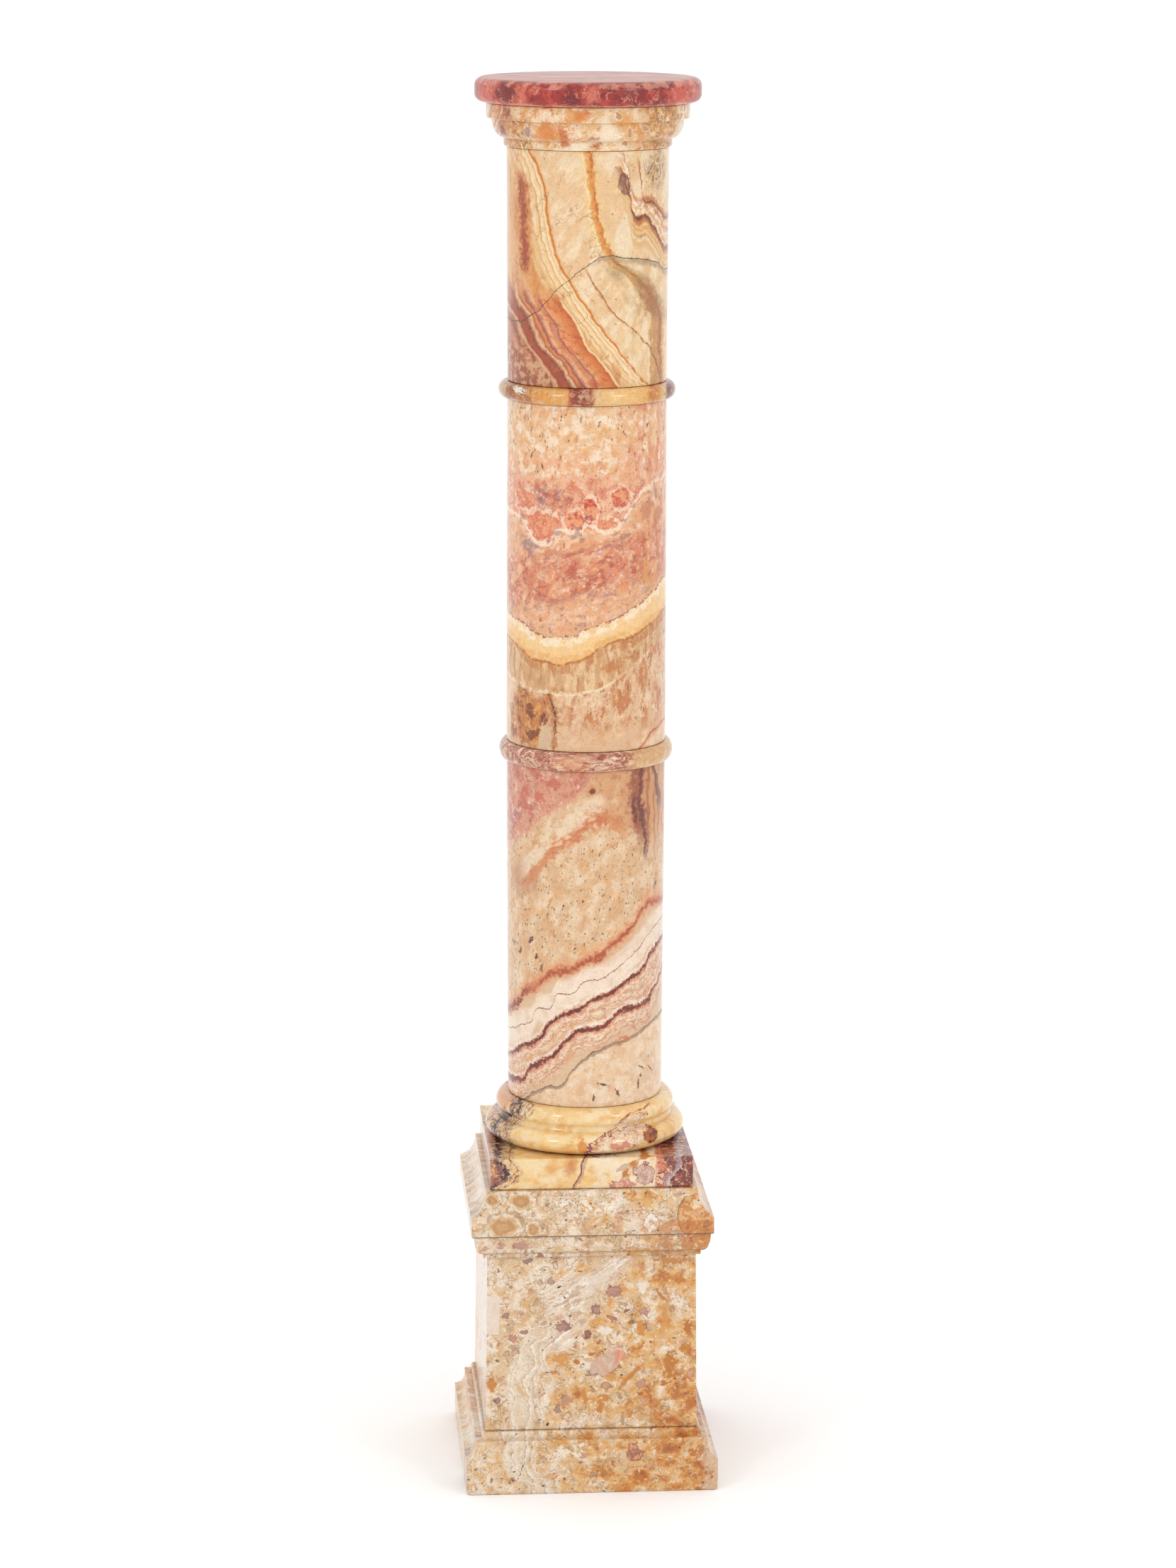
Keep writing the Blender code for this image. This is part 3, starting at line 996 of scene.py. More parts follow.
        pale = f.both(
            f.stripes(second, 5, 0.5, 0.58), f.within(second, -30, -5, 4), f.ramp(f.up, 985, 955),
        )
        f.lay("#F3DDB8", 0.5, pale)
        f.lay(
            "#E7BD72", 0.6, f.line(f.above((20, 912), (35, 940), (48, 962), (58, 975)), 0, 0.9, 0.8),
            f.ramp(f.across, 30, 36),
        )

    def upper_right(self, f: Figure) -> None:
        """Lay on the agate lines, the knot and the gold shade round them.

        Args:
            f: the figure that it is laid on.
        """
        agate = f.above(
            (26, 1062), (30, 1050), (33, 1040), (35, 1028), (40, 1023), (45, 1025), (50, 1018),
            (55, 1010), (60, 998),
        )
        right = f.ramp(f.across, 25, 30)
        under = f.ramp(f.across, 18, 30)
        nested = f.tones(agate, [
            (-26, "#EBD2B2"), (-19, "#E2BC84"), (-16, "#F0DCBC"), (-13, "#DBAC68"), (-11, "#EFD3A4"),
            (-8, "#E0AB5E"), (-6, "#F0D3A4"), (-4, "#D2903E"), (-2, "#B56C38"), (0, "#96523A"),
            (1.6, "#A8623C"), (2.6, "#E2A052"), (4, "#F3D8B0"), (8, "#E0AE78"), (11, "#F6E6D2"),
            (15, "#CF8648"), (18, "#F0D4B4"),
        ])
        f.lay(nested, 0.85, f.within(agate, -20, 15, 6), under)
        f.lay(
            "#84463A", 0.85, f.line(f.strayed(agate, 5, 0.8), 0.6, 1.3, 1.4, 2), right,
            f.cloud(6, 0.36, 0.46),
        )
        f.lay("#F6E9D6", 0.8, f.within(agate, 3, 14, 3), right, f.cloud(5, 0.5, 0.58))
        f.lay("#C77E34", 0.7, f.within(agate, -8, 14, 4), right, f.freckles(8, 0.55))
        f.lay("#B9825B", 0.8, f.spot((51, 958), (7, 17), 25, 0.5, 0.6))
        outer = f.above((36, 1076), (42, 1050), (43, 1038), (50, 1036), (60, 1022))
        f.lay("#C98448", 0.8, f.line(outer, 1, 3.2, 0.8, 3), f.ramp(f.across, 37, 41))
        f.lay("#96582F", 0.85, f.line(outer, 0, 1, 1, 2), f.ramp(f.across, 37, 41))
        broken = f.spot((57, 1060), (13, 18), 8, 0.3, 0.5)
        stirred = f.stirred(6, 2, 4)
        f.lay("#D9B488", 0.8, broken, f.cloud(6, 0.35, 0.5))
        f.lay("#6F5A4E", 0.7, broken, f.coats(9, 3, stirred, 0.52, 0.6))
        f.lay("#3F302B", 0.75, broken, f.freckles(6, 0.6))
        knot = f.spot((28.5, 1051), (4, 7.5), 10, 0.4, 0.7)
        f.lay("#A97468", 0.9, knot, f.cloud(4, 0.35, 0.5))
        f.lay("#6B4038", 0.8, f.rim(knot), f.cloud(3, 0.4, 0.5))


@dataclass(frozen=True)
class CoralBandedOnyx:
    """The middle drum: level layers of peach, coral, rose and straw onyx.

    Iron in the water coloured each layer as it settled, and the drum was turned
    square to them, so they ring it. Its polish brings out thin outlines.
    """

    def make(self) -> bpy.types.Material:
        """Return the finished material.

        Returns:
            The material, figured and polished.
        """
        f = Figure("polished_coral_banded_onyx", "#E5C4A2", dip=(0.35, 0, 0.3))
        straw = f.above((-63, 660), (-55, 655), (-25, 650), (0, 652), (18, 658), (40, 675), (63, 692))
        yellow = f.above(
            (-63, 690), (-48, 681), (-43, 677), (-15, 675), (0, 679), (10, 688), (30, 694), (45, 700),
            (63, 714),
        )
        rose = f.above(
            (-63, 708), (-50, 703), (-40, 696), (-20, 695), (-2, 700), (12, 705), (28, 712), (45, 722),
            (63, 738),
        )
        coral = f.above(
            (-63, 792), (-50, 787), (-45, 778), (-38, 770), (-30, 771), (-20, 782), (-6, 780), (0, 786),
            (15, 780), (22, 782), (34, 796), (45, 812), (63, 820),
        )
        peach = f.above((-63, 824), (-30, 817), (0, 820), (30, 817), (63, 826))
        straw, yellow = f.strayed(straw, 7, 0.9), f.strayed(yellow, 6, 0.9)
        rose, coral = f.strayed(rose, 6, 1.3), f.strayed(coral, 6, 1)
        self.low_part(f)
        tan = f.ramp(straw, -1, 1)
        f.lay("#D9B184", 0.85, tan)
        fibres = f.shaped((1, 1, 4), 4, vector=f.drift)
        f.lay("#EED2AC", 0.8, tan, f.cloud(6, 0.45, 0.58, vector=fibres))
        f.lay("#C48A54", 0.65, tan, f.cloud(4.5, 0.53, 0.62, vector=fibres))
        f.lay("#C47A42", 0.75, tan, f.ramp(f.across, 15, 35), f.freckles(10, 0.52))
        f.lay("#8C5030", 0.75, tan, f.ramp(f.across, 10, 35), f.freckles(6, 0.58))
        f.lay(
            "#F6E2C6", 0.75, f.line(straw, 0, 1.4, 1, 3), f.ramp(f.across, 36, 20),
            f.cloud(8, 0.38, 0.5),
        )
        f.lay("#CF9056", 0.8, f.spot((20, 672), (7, 4.5), 20, 0.4, 0.8))
        f.lay("#CB8F55", 0.75, f.within(yellow, -7, 0, 2), f.cloud(5, 0.42, 0.56, vector=fibres))
        f.lay("#F4D3A0", 0.95, f.ramp(yellow, -0.8, 0.8))
        f.lay("#EAB878", 0.7, f.within(yellow, 0, 5, 3), f.cloud(6, 0.4, 0.55))
        f.lay("#F8EAD4", 0.85, f.line(rose, -3, 3.4, 1, 3, 0.7), f.cloud(6, 0.38, 0.5))
        f.lay("#C4803E", 0.8, f.line(yellow, -0.4, 1, 1.2, 3), f.cloud(7, 0.34, 0.46))
        ragged = f.put(
            "Math", f.noise(3, 6, rough=0.7), 12, f.put("Math", rose, 6, operation="SUBTRACT"),
            operation="MULTIPLY_ADD",
        )
        f.lay("#E8B993", 0.95, f.ramp(ragged, -0.8, 0.8))
        self.rose_part(f, rose)
        f.lay("#E2A486", 0.95, f.ramp(coral, -0.6, 0.6))
        self.coral_part(f, coral)
        broken = f.put(
            "Math", f.noise(9, 8, rough=0.78), 60, f.put("Math", peach, 30, operation="SUBTRACT"),
            operation="MULTIPLY_ADD",
        )
        f.lay("#EEC29E", 0.85, f.ramp(broken, -4, 6))
        self.peach_part(f, peach)
        return f.finish(Polish())

    def low_part(self, f: Figure) -> None:
        """Lay on the cream foot with its amber patch, cracks and speckles.

        Args:
            f: the figure that it is laid on.
        """
        f.lay("#F3DFC4", 0.7, f.cloud(14))
        f.lay("#E2AE78", 0.6, f.cloud(7, 0.5, 0.62))
        speckled = f.both(f.ramp(f.across, -24, -8), f.ramp(f.up, 612, 634))
        upright = f.shaped((1, 1, 2), -10)
        f.lay("#CB8448", 0.8, speckled, f.freckles(12, 0.5, upright))
        f.lay("#8E4E2C", 0.8, speckled, f.freckles(7, 0.56, upright))
        f.lay("#F5E4CC", 0.7, speckled, f.freckles(6, 0.58))
        amber = f.spot((-46, 630), (20, 28), -8, 0.3, 1)
        f.lay("#CE8C4C", 0.9, amber)
        f.lay("#8A4A22", 0.8, amber, f.cloud(9, 0.47, 0.58, vector=f.shaped((1, 1, 1.6), 30)))
        f.lay("#EBB878", 0.8, amber, f.cloud(6, 0.52, 0.6))
        f.lay("#5A2E18", 0.8, amber, f.freckles(8, 0.575, upright))
        fill = f.spot((-33, 612), (4.6, 15), -8, 0.1, 0.5)
        f.lay("#DFC4A6", 0.95, fill)
        crack = f.strayed(
            f.right_of(
                (-40, 686), (-38, 670), (-35, 660), (-30, 650), (-27, 640), (-25, 630), (-25, 600),
            ),
            4, 1.2,
        )
        f.lay("#C07C40", 0.7, f.line(crack, 0, 2.2, 1.4, 4, 0.8), f.ramp(f.up, 688, 680))
        f.lay(
            "#5E3218", 0.85, f.line(crack, 0, 0.55, 1.8, 2), f.ramp(f.up, 686, 680),
            f.cloud(8, 0.36, 0.44),
        )
        vein = f.strayed(f.above((36, 596), (43, 604), (50, 612), (57, 618), (63, 622)), 4, 0.5)
        f.lay("#E4A878", 0.7, f.line(vein, 0, 2.4, 0.7, 4), f.ramp(f.across, 36, 41))
        f.lay("#C8683E", 0.85, f.line(vein, 0, 0.8, 0.9), f.ramp(f.across, 36, 41))

    def rose_part(self, f: Figure, rose: Socket) -> None:
        """Lay on the rose layer's deeper level and its lilac lines.

        Args:
            f: the figure that it is laid on.
            rose: how far above the rose layer's foot, in millimetres.
        """
        inside = f.ramp(rose, 1, 5)
        lean = f.shaped((2.2, 1, 1), 24, vector=f.drift)
        level = f.put("Math", f.across, -0.22, f.up, operation="MULTIPLY_ADD")
        deep = f.both(inside, f.within(level, 738, 760, 16))
        f.lay("#D98E74", 0.8, deep, f.cloud(15, 0.33, 0.55))
        f.lay("#F2CFB2", 0.7, inside, f.cloud(7, 0.48, 0.6, vector=lean))
        f.lay("#C4684E", 0.7, deep, f.cloud(6, 0.5, 0.6, vector=lean))
        f.lay("#EBA878", 0.6, inside, f.cloud(9, 0.54, 0.62))
        f.lay("#F8E4D2", 0.75, inside, f.freckles(6, 0.555))
        f.lay("#A2503E", 0.7, inside, f.freckles(5, 0.57, f.shaped((1, 1, 1.6), -10, (30, 0, 0))))
        f.lay("#B08A8C", 0.6, inside, f.within(level, 704, 730, 6), f.freckles(8, 0.53))
        f.lay("#9A6068", 0.75, f.line(rose, 1, 0.7, 1.8, 1.6), f.cloud(3, 0.42, 0.5))
        grey = f.both(f.spot((-46, 768), (9, 6), -25, 0.5, 1), f.cloud(5, 0.4, 0.5))
        f.lay("#A88A92", 0.7, grey)
        right = f.both(f.ramp(f.across, 34, 52), f.within(f.up, 745, 800, 12))
        f.lay("#CB8058", 0.7, right, f.cloud(7, 0.46, 0.56, vector=f.shaped((1, 1, 2.2))))
        f.lay("#E2B064", 0.8, f.spot((52, 742), (9, 14), 0, 0.5, 1), f.cloud(5, 0.46, 0.54))

    def coral_part(self, f: Figure, coral: Socket) -> None:
        """Lay on the coral layer's pale outlines, red blooms and grey smears.

        Args:
            f: the figure that it is laid on.
            coral: how far above the coral layer's foot, in millimetres.
        """
        inside = f.ramp(coral, 0, 2)
        flow = f.stirred(4, 1.8, 5)
        f.lay("#F0C8AA", 0.85, inside, f.cloud(8, 0.46, 0.56))
        f.lay("#DB8460", 0.7, inside, f.cloud(7, 0.52, 0.6, vector=flow))
        f.lay(
            "#A8777A", 0.7, f.spot((-34, 806), (15, 9), 0, 0.5, 1), f.cloud(5, 0.44, 0.54, vector=flow),
        )
        for centre, radii, red in (
            ((-35, 783), (13, 12), 0.5), ((-57, 792), (6, 5), 0.4), ((-9, 788), (8, 9), 0.75),
            ((3, 797), (6, 9), 0.95), ((17, 785), (9, 6), 0.3), ((27, 806), (8, 9), 0.75),
            ((-50, 803), (9, 8), 0.5), ((2, 785), (3.6, 3), 0.95),
        ):
            f.lay("#F8E0CA", 0.75, f.spot(centre, (1.2 * radii[0], 1.2 * radii[1]), 0, 0.08, 0.6))
            bloom = f.spot(centre, radii, 0, 0.1, 0.6)
            f.lay("#ECAC84", 0.9, bloom)
            f.lay("#D0583A", red, bloom, f.cloud(6, 0.44, 0.54, vector=flow))
        f.lay("#F6DDC8", 0.7, inside, f.freckles(6, 0.555))
        f.lay("#9A4A3A", 0.7, inside, f.freckles(5, 0.57))
        f.lay("#F8E2CC", 0.9, f.line(coral, -0.8, 1.7, 1, 3), f.cloud(9, 0.3, 0.42))
        f.lay("#F3D4BC", 0.7, f.line(coral, -7, 1.2, 1.4, 3), f.cloud(9, 0.44, 0.54))
        smears = f.both(
            f.within(coral, -16, 4, 5), f.cloud(7, 0.54, 0.62, vector=f.shaped((1.6, 1, 1), 15)),
        )
        f.lay("#A88688", 0.6, smears)

    def peach_part(self, f: Figure, peach: Socket) -> None:
        """Lay on the pale head of the drum with its fine dark pits.

        Args:
            f: the figure that it is laid on.
            peach: how far above the peach layer's foot, in millimetres.
        """
        inside = f.ramp(peach, 0, 8)
        f.lay("#EDCDA6", 0.75, inside, f.ramp(f.up, 828, 850))
        f.lay("#F7E8D4", 0.75, inside, f.cloud(10, 0.46, 0.58))
        f.lay("#E6B078", 0.65, inside, f.cloud(6, 0.5, 0.6))
        upright = f.shaped((1, 1, 2.5))
        f.lay("#E4A07E", 0.7, inside, f.ramp(f.across, 20, 50), f.cloud(7, 0.42, 0.56, vector=upright))
        f.lay("#D08C60", 0.65, inside, f.freckles(7, 0.555, upright))
        f.lay("#C05A3A", 0.75, inside, f.ramp(f.across, 30, 48), f.freckles(8, 0.57, upright))
        lines = f.shaped((1, 1, 2.2), -12, vector=f.drift)
        fine = f.grains(3, 0.17, 0.5, lines)
        large = f.grains(7.5, 0.13, 0.5, f.stirred(3, 0.8, 3, lines))
        pits = f.both(f.put("Math", fine, large, operation="MAXIMUM"), f.ramp(f.up, 815, 830))
        f.lay("#6E4632", 0.8, pits)
        f.dig(pits, 0.15, 0.15)
        f.lay("#7A4E38", 0.75, f.freckles(8, 0.61, lines), inside)


@dataclass(frozen=True)
class VeinBandedOnyx:
    """The lower drum: cream onyx with brick-red veins that climb to the right.

    The veins are seams that opened and healed with iron-rich calcite. Old cracks are
    filled and polished over, and the pale parts keep open pits from plant stems.
    """

    brick: str = "#BC6440"
    dark: str = "#A0503A"

    def make(self) -> bpy.types.Material:
        """Return the finished material.

        Returns:
            The material, figured and polished.
        """
        f = Figure("polished_brick_veined_onyx", "#E2C29E", dip=(0.2, 0, 0.7))
        rows = f.shaped((1, 1, 1.7), -22, vector=f.drift)
        f.lay("#DDB084", 0.55, f.cloud(20))
        f.lay("#F3E2CA", 0.7, f.cloud(9, 0.4, 0.66, vector=rows))
        f.lay("#E0A866", 0.5, f.cloud(5, 0.52, 0.66, vector=rows))
        f.lay("#E6AE5E", 0.55, f.freckles(9, 0.56))
        f.lay("#C89264", 0.6, f.freckles(6, 0.565, rows))
        f.lay("#F8ECDA", 0.6, f.freckles(5, 0.57))
        f.lay("#CA9772", 0.7, f.spot((-54, 496), (15, 15), 0, 0.5, 0.5))
        upper = f.above(
            (-63, 380), (-52, 396), (-50, 402), (-38, 411), (-30, 420), (-10, 427), (0, 433), (12, 437),
            (20, 445), (37, 459), (50, 475), (63, 474),
        )
        thin = f.above(
            (-63, 364), (-52, 374), (-43, 380), (-38, 391), (-28, 393), (-22, 405), (-10, 407),
            (0, 416), (12, 419), (42, 440), (50, 450), (63, 460),
        )
        third = f.above(
            (-63, 342), (-50, 357), (-38, 365), (-30, 377), (-15, 390), (0, 396), (8, 402), (20, 406),
            (35, 416), (45, 422), (52, 432), (63, 443),
        )
        fourth = f.above(
            (-63, 325), (-50, 329), (-45, 340), (-35, 347), (-25, 355), (-15, 367), (-5, 376),
            (10, 378), (20, 384), (30, 391), (50, 394), (55, 402), (63, 420),
        )
        fill = f.above(
            (-63, 300), (-48, 313), (-42, 320), (-30, 327), (-20, 330), (-8, 345), (0, 353), (15, 361),
            (35, 367), (55, 377), (63, 380),
        )
        upper, thin, third = f.strayed(upper, 6, 1.7), f.strayed(thin, 5, 0.7), f.strayed(third, 5, 1.1)
        fourth, fill = f.strayed(fourth, 5, 1.2), f.strayed(fill, 4, 0.6)
        self.stem_pits(f, upper)
        self.head(f)
        self.veins(f, upper, thin, third, fourth)
        self.foot(f, fill)
        return f.finish(Polish())

    def stem_pits(self, f: Figure, upper: Socket) -> None:
        """Lay on the long dark pits between the rose head and the first vein.

        Args:
            f: the figure that it is laid on.
            upper: how far above the upper vein, in millimetres.
        """
        where = f.both(f.ramp(upper, 4, 14), f.ramp(f.up, 560, 520))
        long_pits = f.grains(3.6, 0.16, 0.6, f.shaped((1, 1, 2.4), -14, vector=f.drift))
        fine_pits = f.grains(2.2, 0.2, 0.42, f.shaped((1, 1, 2), -20, vector=f.drift))
        pits = f.put("Math", f.both(long_pits, f.cloud(9, 0.4, 0.5)), fine_pits, operation="MAXIMUM")
        pits = f.both(pits, where, f.cloud(14, 0.3, 0.46))
        f.lay("#7A563C", 0.8, pits)
        lumps = f.both(f.freckles(9, 0.605, f.shaped((1, 1, 2.4), -14)), where)
        f.lay("#7A4E30", 0.8, lumps)
        for centre in ((-58, 440), (-52, 436), (-39, 434), (-35, 425), (-44, 447)):
            f.lay("#6E2E20", 0.85, f.spot(centre, (1.4, 3.4), -15, 0.3, 1.2))
        f.dig(pits, 0.2, 0.2)

    def head(self, f: Figure) -> None:
        """Lay on the rose, ochre and amber of the drum's upper end.

        Args:
            f: the figure that it is laid on.
        """
        rose = f.above((-63, 518), (-45, 536), (-30, 551), (-15, 560), (0, 574), (12, 590), (63, 640))
        ochre = f.above(
            (-63, 470), (-40, 500), (-20, 524), (-5, 534), (5, 543), (15, 545), (30, 538), (63, 540),
        )
        right = f.ramp(f.across, -8, 12)
        f.lay("#DCAA7D", 0.8, f.ramp(ochre, 0, 6), right, f.cloud(18, 0.3, 0.5))
        f.lay("#C98D63", 0.7, f.ramp(ochre, 2, 8), right, f.cloud(7, 0.5, 0.62))
        brick = f.line(ochre, 4, 6, 0.7, 4, 0.6)
        f.lay("#D99B6C", 0.85, brick, f.within(f.across, -42, 24, 14))
        tone, seams = f.shards(8, 0.1, f.stirred(4, 1, 3, f.shaped((1, 1, 0.6), 35, vector=f.drift)))
        cells = f.both(brick, f.within(f.across, -24, 16, 6))
        f.lay("#F2CFAA", 0.8, cells, f.ramp(tone, 0.5, 0.65))
        f.lay("#D2825A", 0.7, cells, seams)
        f.lay(
            "#EFDCC4", 0.75, f.within(ochre, 11, 22, 5), f.within(f.across, -45, 10, 10),
            f.cloud(9, 0.38, 0.52),
        )
        ragged = f.put(
            "Math", f.noise(7, 8, rough=0.78), 26, f.put("Math", rose, 13, operation="SUBTRACT"),
            operation="MULTIPLY_ADD",
        )
        f.lay("#DEA68C", 0.85, f.ramp(ragged, -2, 3))
        inside = f.ramp(ragged, 0, 6)
        f.lay("#CF7C66", 0.8, inside, f.cloud(9, 0.46, 0.58))
        f.lay("#B88A88", 0.6, inside, f.cloud(13, 0.54, 0.6))
        f.lay("#F4DAC6", 0.75, inside, f.freckles(7, 0.535))
        f.lay("#93504A", 0.7, inside, f.freckles(6, 0.565))
        f.lay("#B24E3E", 0.7, inside, f.freckles(4, 0.575, f.shaped((1, 1, 1), 0, (9, 9, 9))))
        speck = f.spot((5, 572), (2.6, 2.2), 20, 0.3, 0.5)
        f.lay("#93452F", 0.9, speck)
        amber = f.both(f.ramp(f.across, 45, 51), f.ramp(f.up, 500, 545))
        f.lay("#D9A878", 0.8, amber)
        f.lay("#B9743F", 0.75, amber, f.stripes(f.across, 3.2, 0.5, 0.6))
        edge = f.right_of((53, 590), (57, 570), (59, 555), (60, 530))
        f.lay("#874B36", 0.85, f.line(edge, 0, 1.3, 0.7), f.ramp(f.up, 545, 562))
        stem = f.right_of((42, 590), (41, 565), (43, 548), (45, 530), (46, 505))
        taper = f.ramp(f.up, 505, 525)
        f.lay("#B06B50", 0.9, f.line(stem, 0, 5.2, 0.8, 4, 0.6), f.ramp(f.up, 512, 545))
        f.lay(
            "#7E4740", 0.9, f.line(stem, -2.8, 1.6, 1.2, 3, 0.7), f.ramp(f.up, 538, 548),
            f.ramp(f.up, 572, 562),
        )
        f.lay("#7E463C", 0.85, f.line(stem, 2.4, 1.3, 1.2, 3, 0.7), taper)

    def veins(self, f: Figure, upper: Socket, thin: Socket, third: Socket, fourth: Socket) -> None:
        """Lay on the four brick veins and the white and agate between them.

        Args:
            f: the figure that it is laid on.
            upper: how far above the upper vein, in millimetres.
            thin: how far above the thin vein, in millimetres.
            third: how far above the third vein, in millimetres.
            fourth: how far above the fourth vein, in millimetres.
        """
        f.lay("#E3C6A8", 0.9, f.ramp(upper, 0, -3))
        f.lay("#E6B084", 0.7, f.line(upper, 1, 7.5, 0.7, 6, 0.9))
        f.lay("#F6E5D4", 0.9, f.within(thin, -9, 8, 7))
        f.lay("#E2C8AC", 0.6, f.within(thin, -14, 9, 4), f.cloud(9, 0.48, 0.62))
        f.lay("#D68E62", 0.8, f.line(upper, 0.4, 3.6, 1, 4, 0.8))
        f.lay(self.brick, 0.85, f.line(upper, 0, 1.9, 1.6, 2.6, 0.7), f.cloud(14, 0.36, 0.5))
        teeth = f.both(f.line(upper, -0.6, 2.8, 1.8, 2.4, 0.5), f.ramp(f.across, -44, -52))
        f.lay("#96442E", 0.85, teeth)
        f.lay("#9C6450", 0.8, f.line(thin, 0, 0.45, 1.2, 1.6), f.cloud(6, 0.3, 0.42))
        between = f.both(f.ramp(third, 0, -2), f.ramp(fourth, -22, -14))
        f.lay("#EACBAE", 0.85, between)
        f.lay("#D69C78", 0.6, between, f.stripes(third, 2.2, 0.54, 0.6))
        f.lay("#F4E4D0", 0.7, between, f.stripes(fourth, 2.6, 0.5, 0.57))
        f.lay("#E2AC74", 0.65, between, f.cloud(7, 0.53, 0.62))
        f.lay("#BCA4A8", 0.5, between, f.ramp(f.across, 20, 40), f.cloud(6, 0.54, 0.62))
        scallops = f.coats(
            13, 4, f.stirred(6, 1.5, 2, f.shaped((1.3, 1, 0.8), 30, vector=f.drift)), 0.5, 0.58,
        )
        f.lay("#C98C70", 0.5, between, scallops)
        for vein, core in ((third, 1.6), (fourth, 1.9)):
            f.lay("#F6EBDD", 0.75, f.line(vein, 3.6, 1.8, 1, 3, 0.7))
            f.lay("#F3DFCA", 0.75, f.line(vein, -5.5, 1.4, 1.4, 3, 0.7))
            f.lay("#DE9E7C", 0.8, f.line(vein, -0.8, core + 1.6, 1, 3.4, 0.7))
            f.lay(self.dark, 0.95, f.line(vein, 0, core, 1.2, 2.6, 0.4))
            f.lay("#70301F", 0.8, f.line(vein, 0.3, 0.8 * core, 1.2, 2.4, 0.5), f.cloud(4, 0.42, 0.52))

    def foot(self, f: Figure, fill: Socket) -> None:
        """Lay on the filled crack and the pale onyx beneath it.

        Args:
            f: the figure that it is laid on.
            fill: how far above the lowest fill's edge, in millimetres.
        """
        below = f.ramp(fill, 0, -1.5)
        f.lay("#ECCFAE", 0.95, below)
        f.lay("#DDB48C", 0.5, below, f.cloud(14, 0.42, 0.66))
        f.lay("#F5E6D4", 0.6, below, f.cloud(8, 0.42, 0.64))
        f.lay("#C89A70", 0.5, below, f.freckles(6, 0.58))
        f.lay("#B79A80", 0.85, f.line(fill, -0.6, 1.4, 0.7, 3))
        f.lay("#6F6154", 0.7, f.line(fill, 0.7, 0.35, 1, 1.5))
        f.dig(f.line(fill, -0.6, 1.2, 0.7, 3), 0.1, 0.15)
        grit = f.stirred(3, 1.2, 4)
        cracks = f.both(below, f.grains(8, 0.08, 0.25, f.shaped((1, 1, 3), 35, vector=grit)))
        f.lay("#6E5244", 0.75, cracks)
        for centre, radii, tilt in (
            ((15, 330.5), (4, 0.8), -15), ((27, 324), (0.9, 3), 20), ((6.5, 321), (0.9, 2.6), 0),
            ((45, 341), (0.8, 2.6), 40), ((53, 338), (0.7, 4), 35), ((43, 328), (0.9, 4), 5),
            ((44, 334), (1, 1.6), 0),
        ):
            f.lay("#6A4A30", 0.85, f.spot(centre, radii, tilt, 0.3, 1.4))
        f.lay("#D98A66", 0.8, f.spot((31, 367), (6, 2.6), 10, 0.3, 0.8), f.cloud(3, 0.4, 0.5))
        f.dig(cracks, 0.2, 0.2)


@dataclass(frozen=True)
class RedMarble:
    """The top disc: crimson marble with maroon and salmon patches.

    Its round edge was worn and polished by hand, and a pale band along its upper rim is a
    painted highlight. The flat top is painted paler, as the sheen of light on it, and
    shows long streaks where the polish follows the stone's layers.
    """

    foot: float = 1111
    top: float = 1130

    def make(self) -> bpy.types.Material:
        """Return the finished material.

        Returns:
            The material, figured and polished.
        """
        f = Figure("polished_crimson_marble", "#B23E33", dip=(0.5, 0, 0.2), wobble=(8, 1.6))
        flow = f.stirred(9, 3, 4)
        f.lay("#D0604E", 0.8, f.cloud(12, 0.44, 0.56, vector=flow))
        f.lay("#84282C", 0.85, f.cloud(15, 0.52, 0.6, vector=f.shaped((1.5, 1, 1), 0, (40, 0, 9))))
        for centre, radii, tone in (
            ((-78, 1120), (10, 14), "#E0806A"), ((-52, 1121), (7, 8), "#E69078"),
            ((1, 1121), (7, 9), "#E99A84"), ((74, 1120), (13, 14), "#DE7A64"),
            ((-63, 1121), (8, 7), "#7E2A2E"), ((-12, 1118), (7, 9), "#76242C"),
            ((33, 1120), (14, 12), "#8A2626"), ((54, 1127), (11, 4), "#74242C"),
        ):
            f.lay(tone, 0.75, f.spot(centre, radii, 0, 0.5, 1))
        f.lay("#EFAE96", 0.6, f.freckles(5, 0.575))
        f.lay("#6A1A1E", 0.75, f.freckles(4.5, 0.55, flow))
        f.lay("#F3C0A8", 0.55, f.threads(8, 0.02, 4, flow), f.cloud(10, 0.48, 0.56))
        # painted light: the flat top is laid paler, as its sheen; its streaks and freckles are the stone's
        # figure
        level = f.ramp(f.up, self.top - 2.2, self.top - 0.2)
        f.lay("#BC6450", 0.85, level)
        streaks = f.shaped((7, 1, 1), 0)
        f.lay("#E2A88E", 0.8, level, f.cloud(10, 0.47, 0.58, 6, streaks))
        f.lay("#963830", 0.75, level, f.cloud(7, 0.53, 0.6, 6, streaks))
        f.lay("#B86658", 0.6, level, f.freckles(6, 0.56))
        f.lay("#EFC4AC", 0.6, level, f.freckles(7, 0.58))
        # painted highlight: this pale band along the upper rim of the round edge stands for sheen, not wear
        worn = f.both(f.within(f.up, self.top - 4, self.top - 1.5, 1.5), f.cloud(12, 0.42, 0.54))
        f.lay("#EDB8A0", 0.55, worn)
        f.lay(
            "#EDB09C", 0.65, f.within(f.up, self.foot - 1, self.foot + 1.2, 0.8), f.cloud(9, 0.36, 0.5),
        )
        return f.finish(Polish(roughness=0.32, coat=0.2, speckle=0.2))


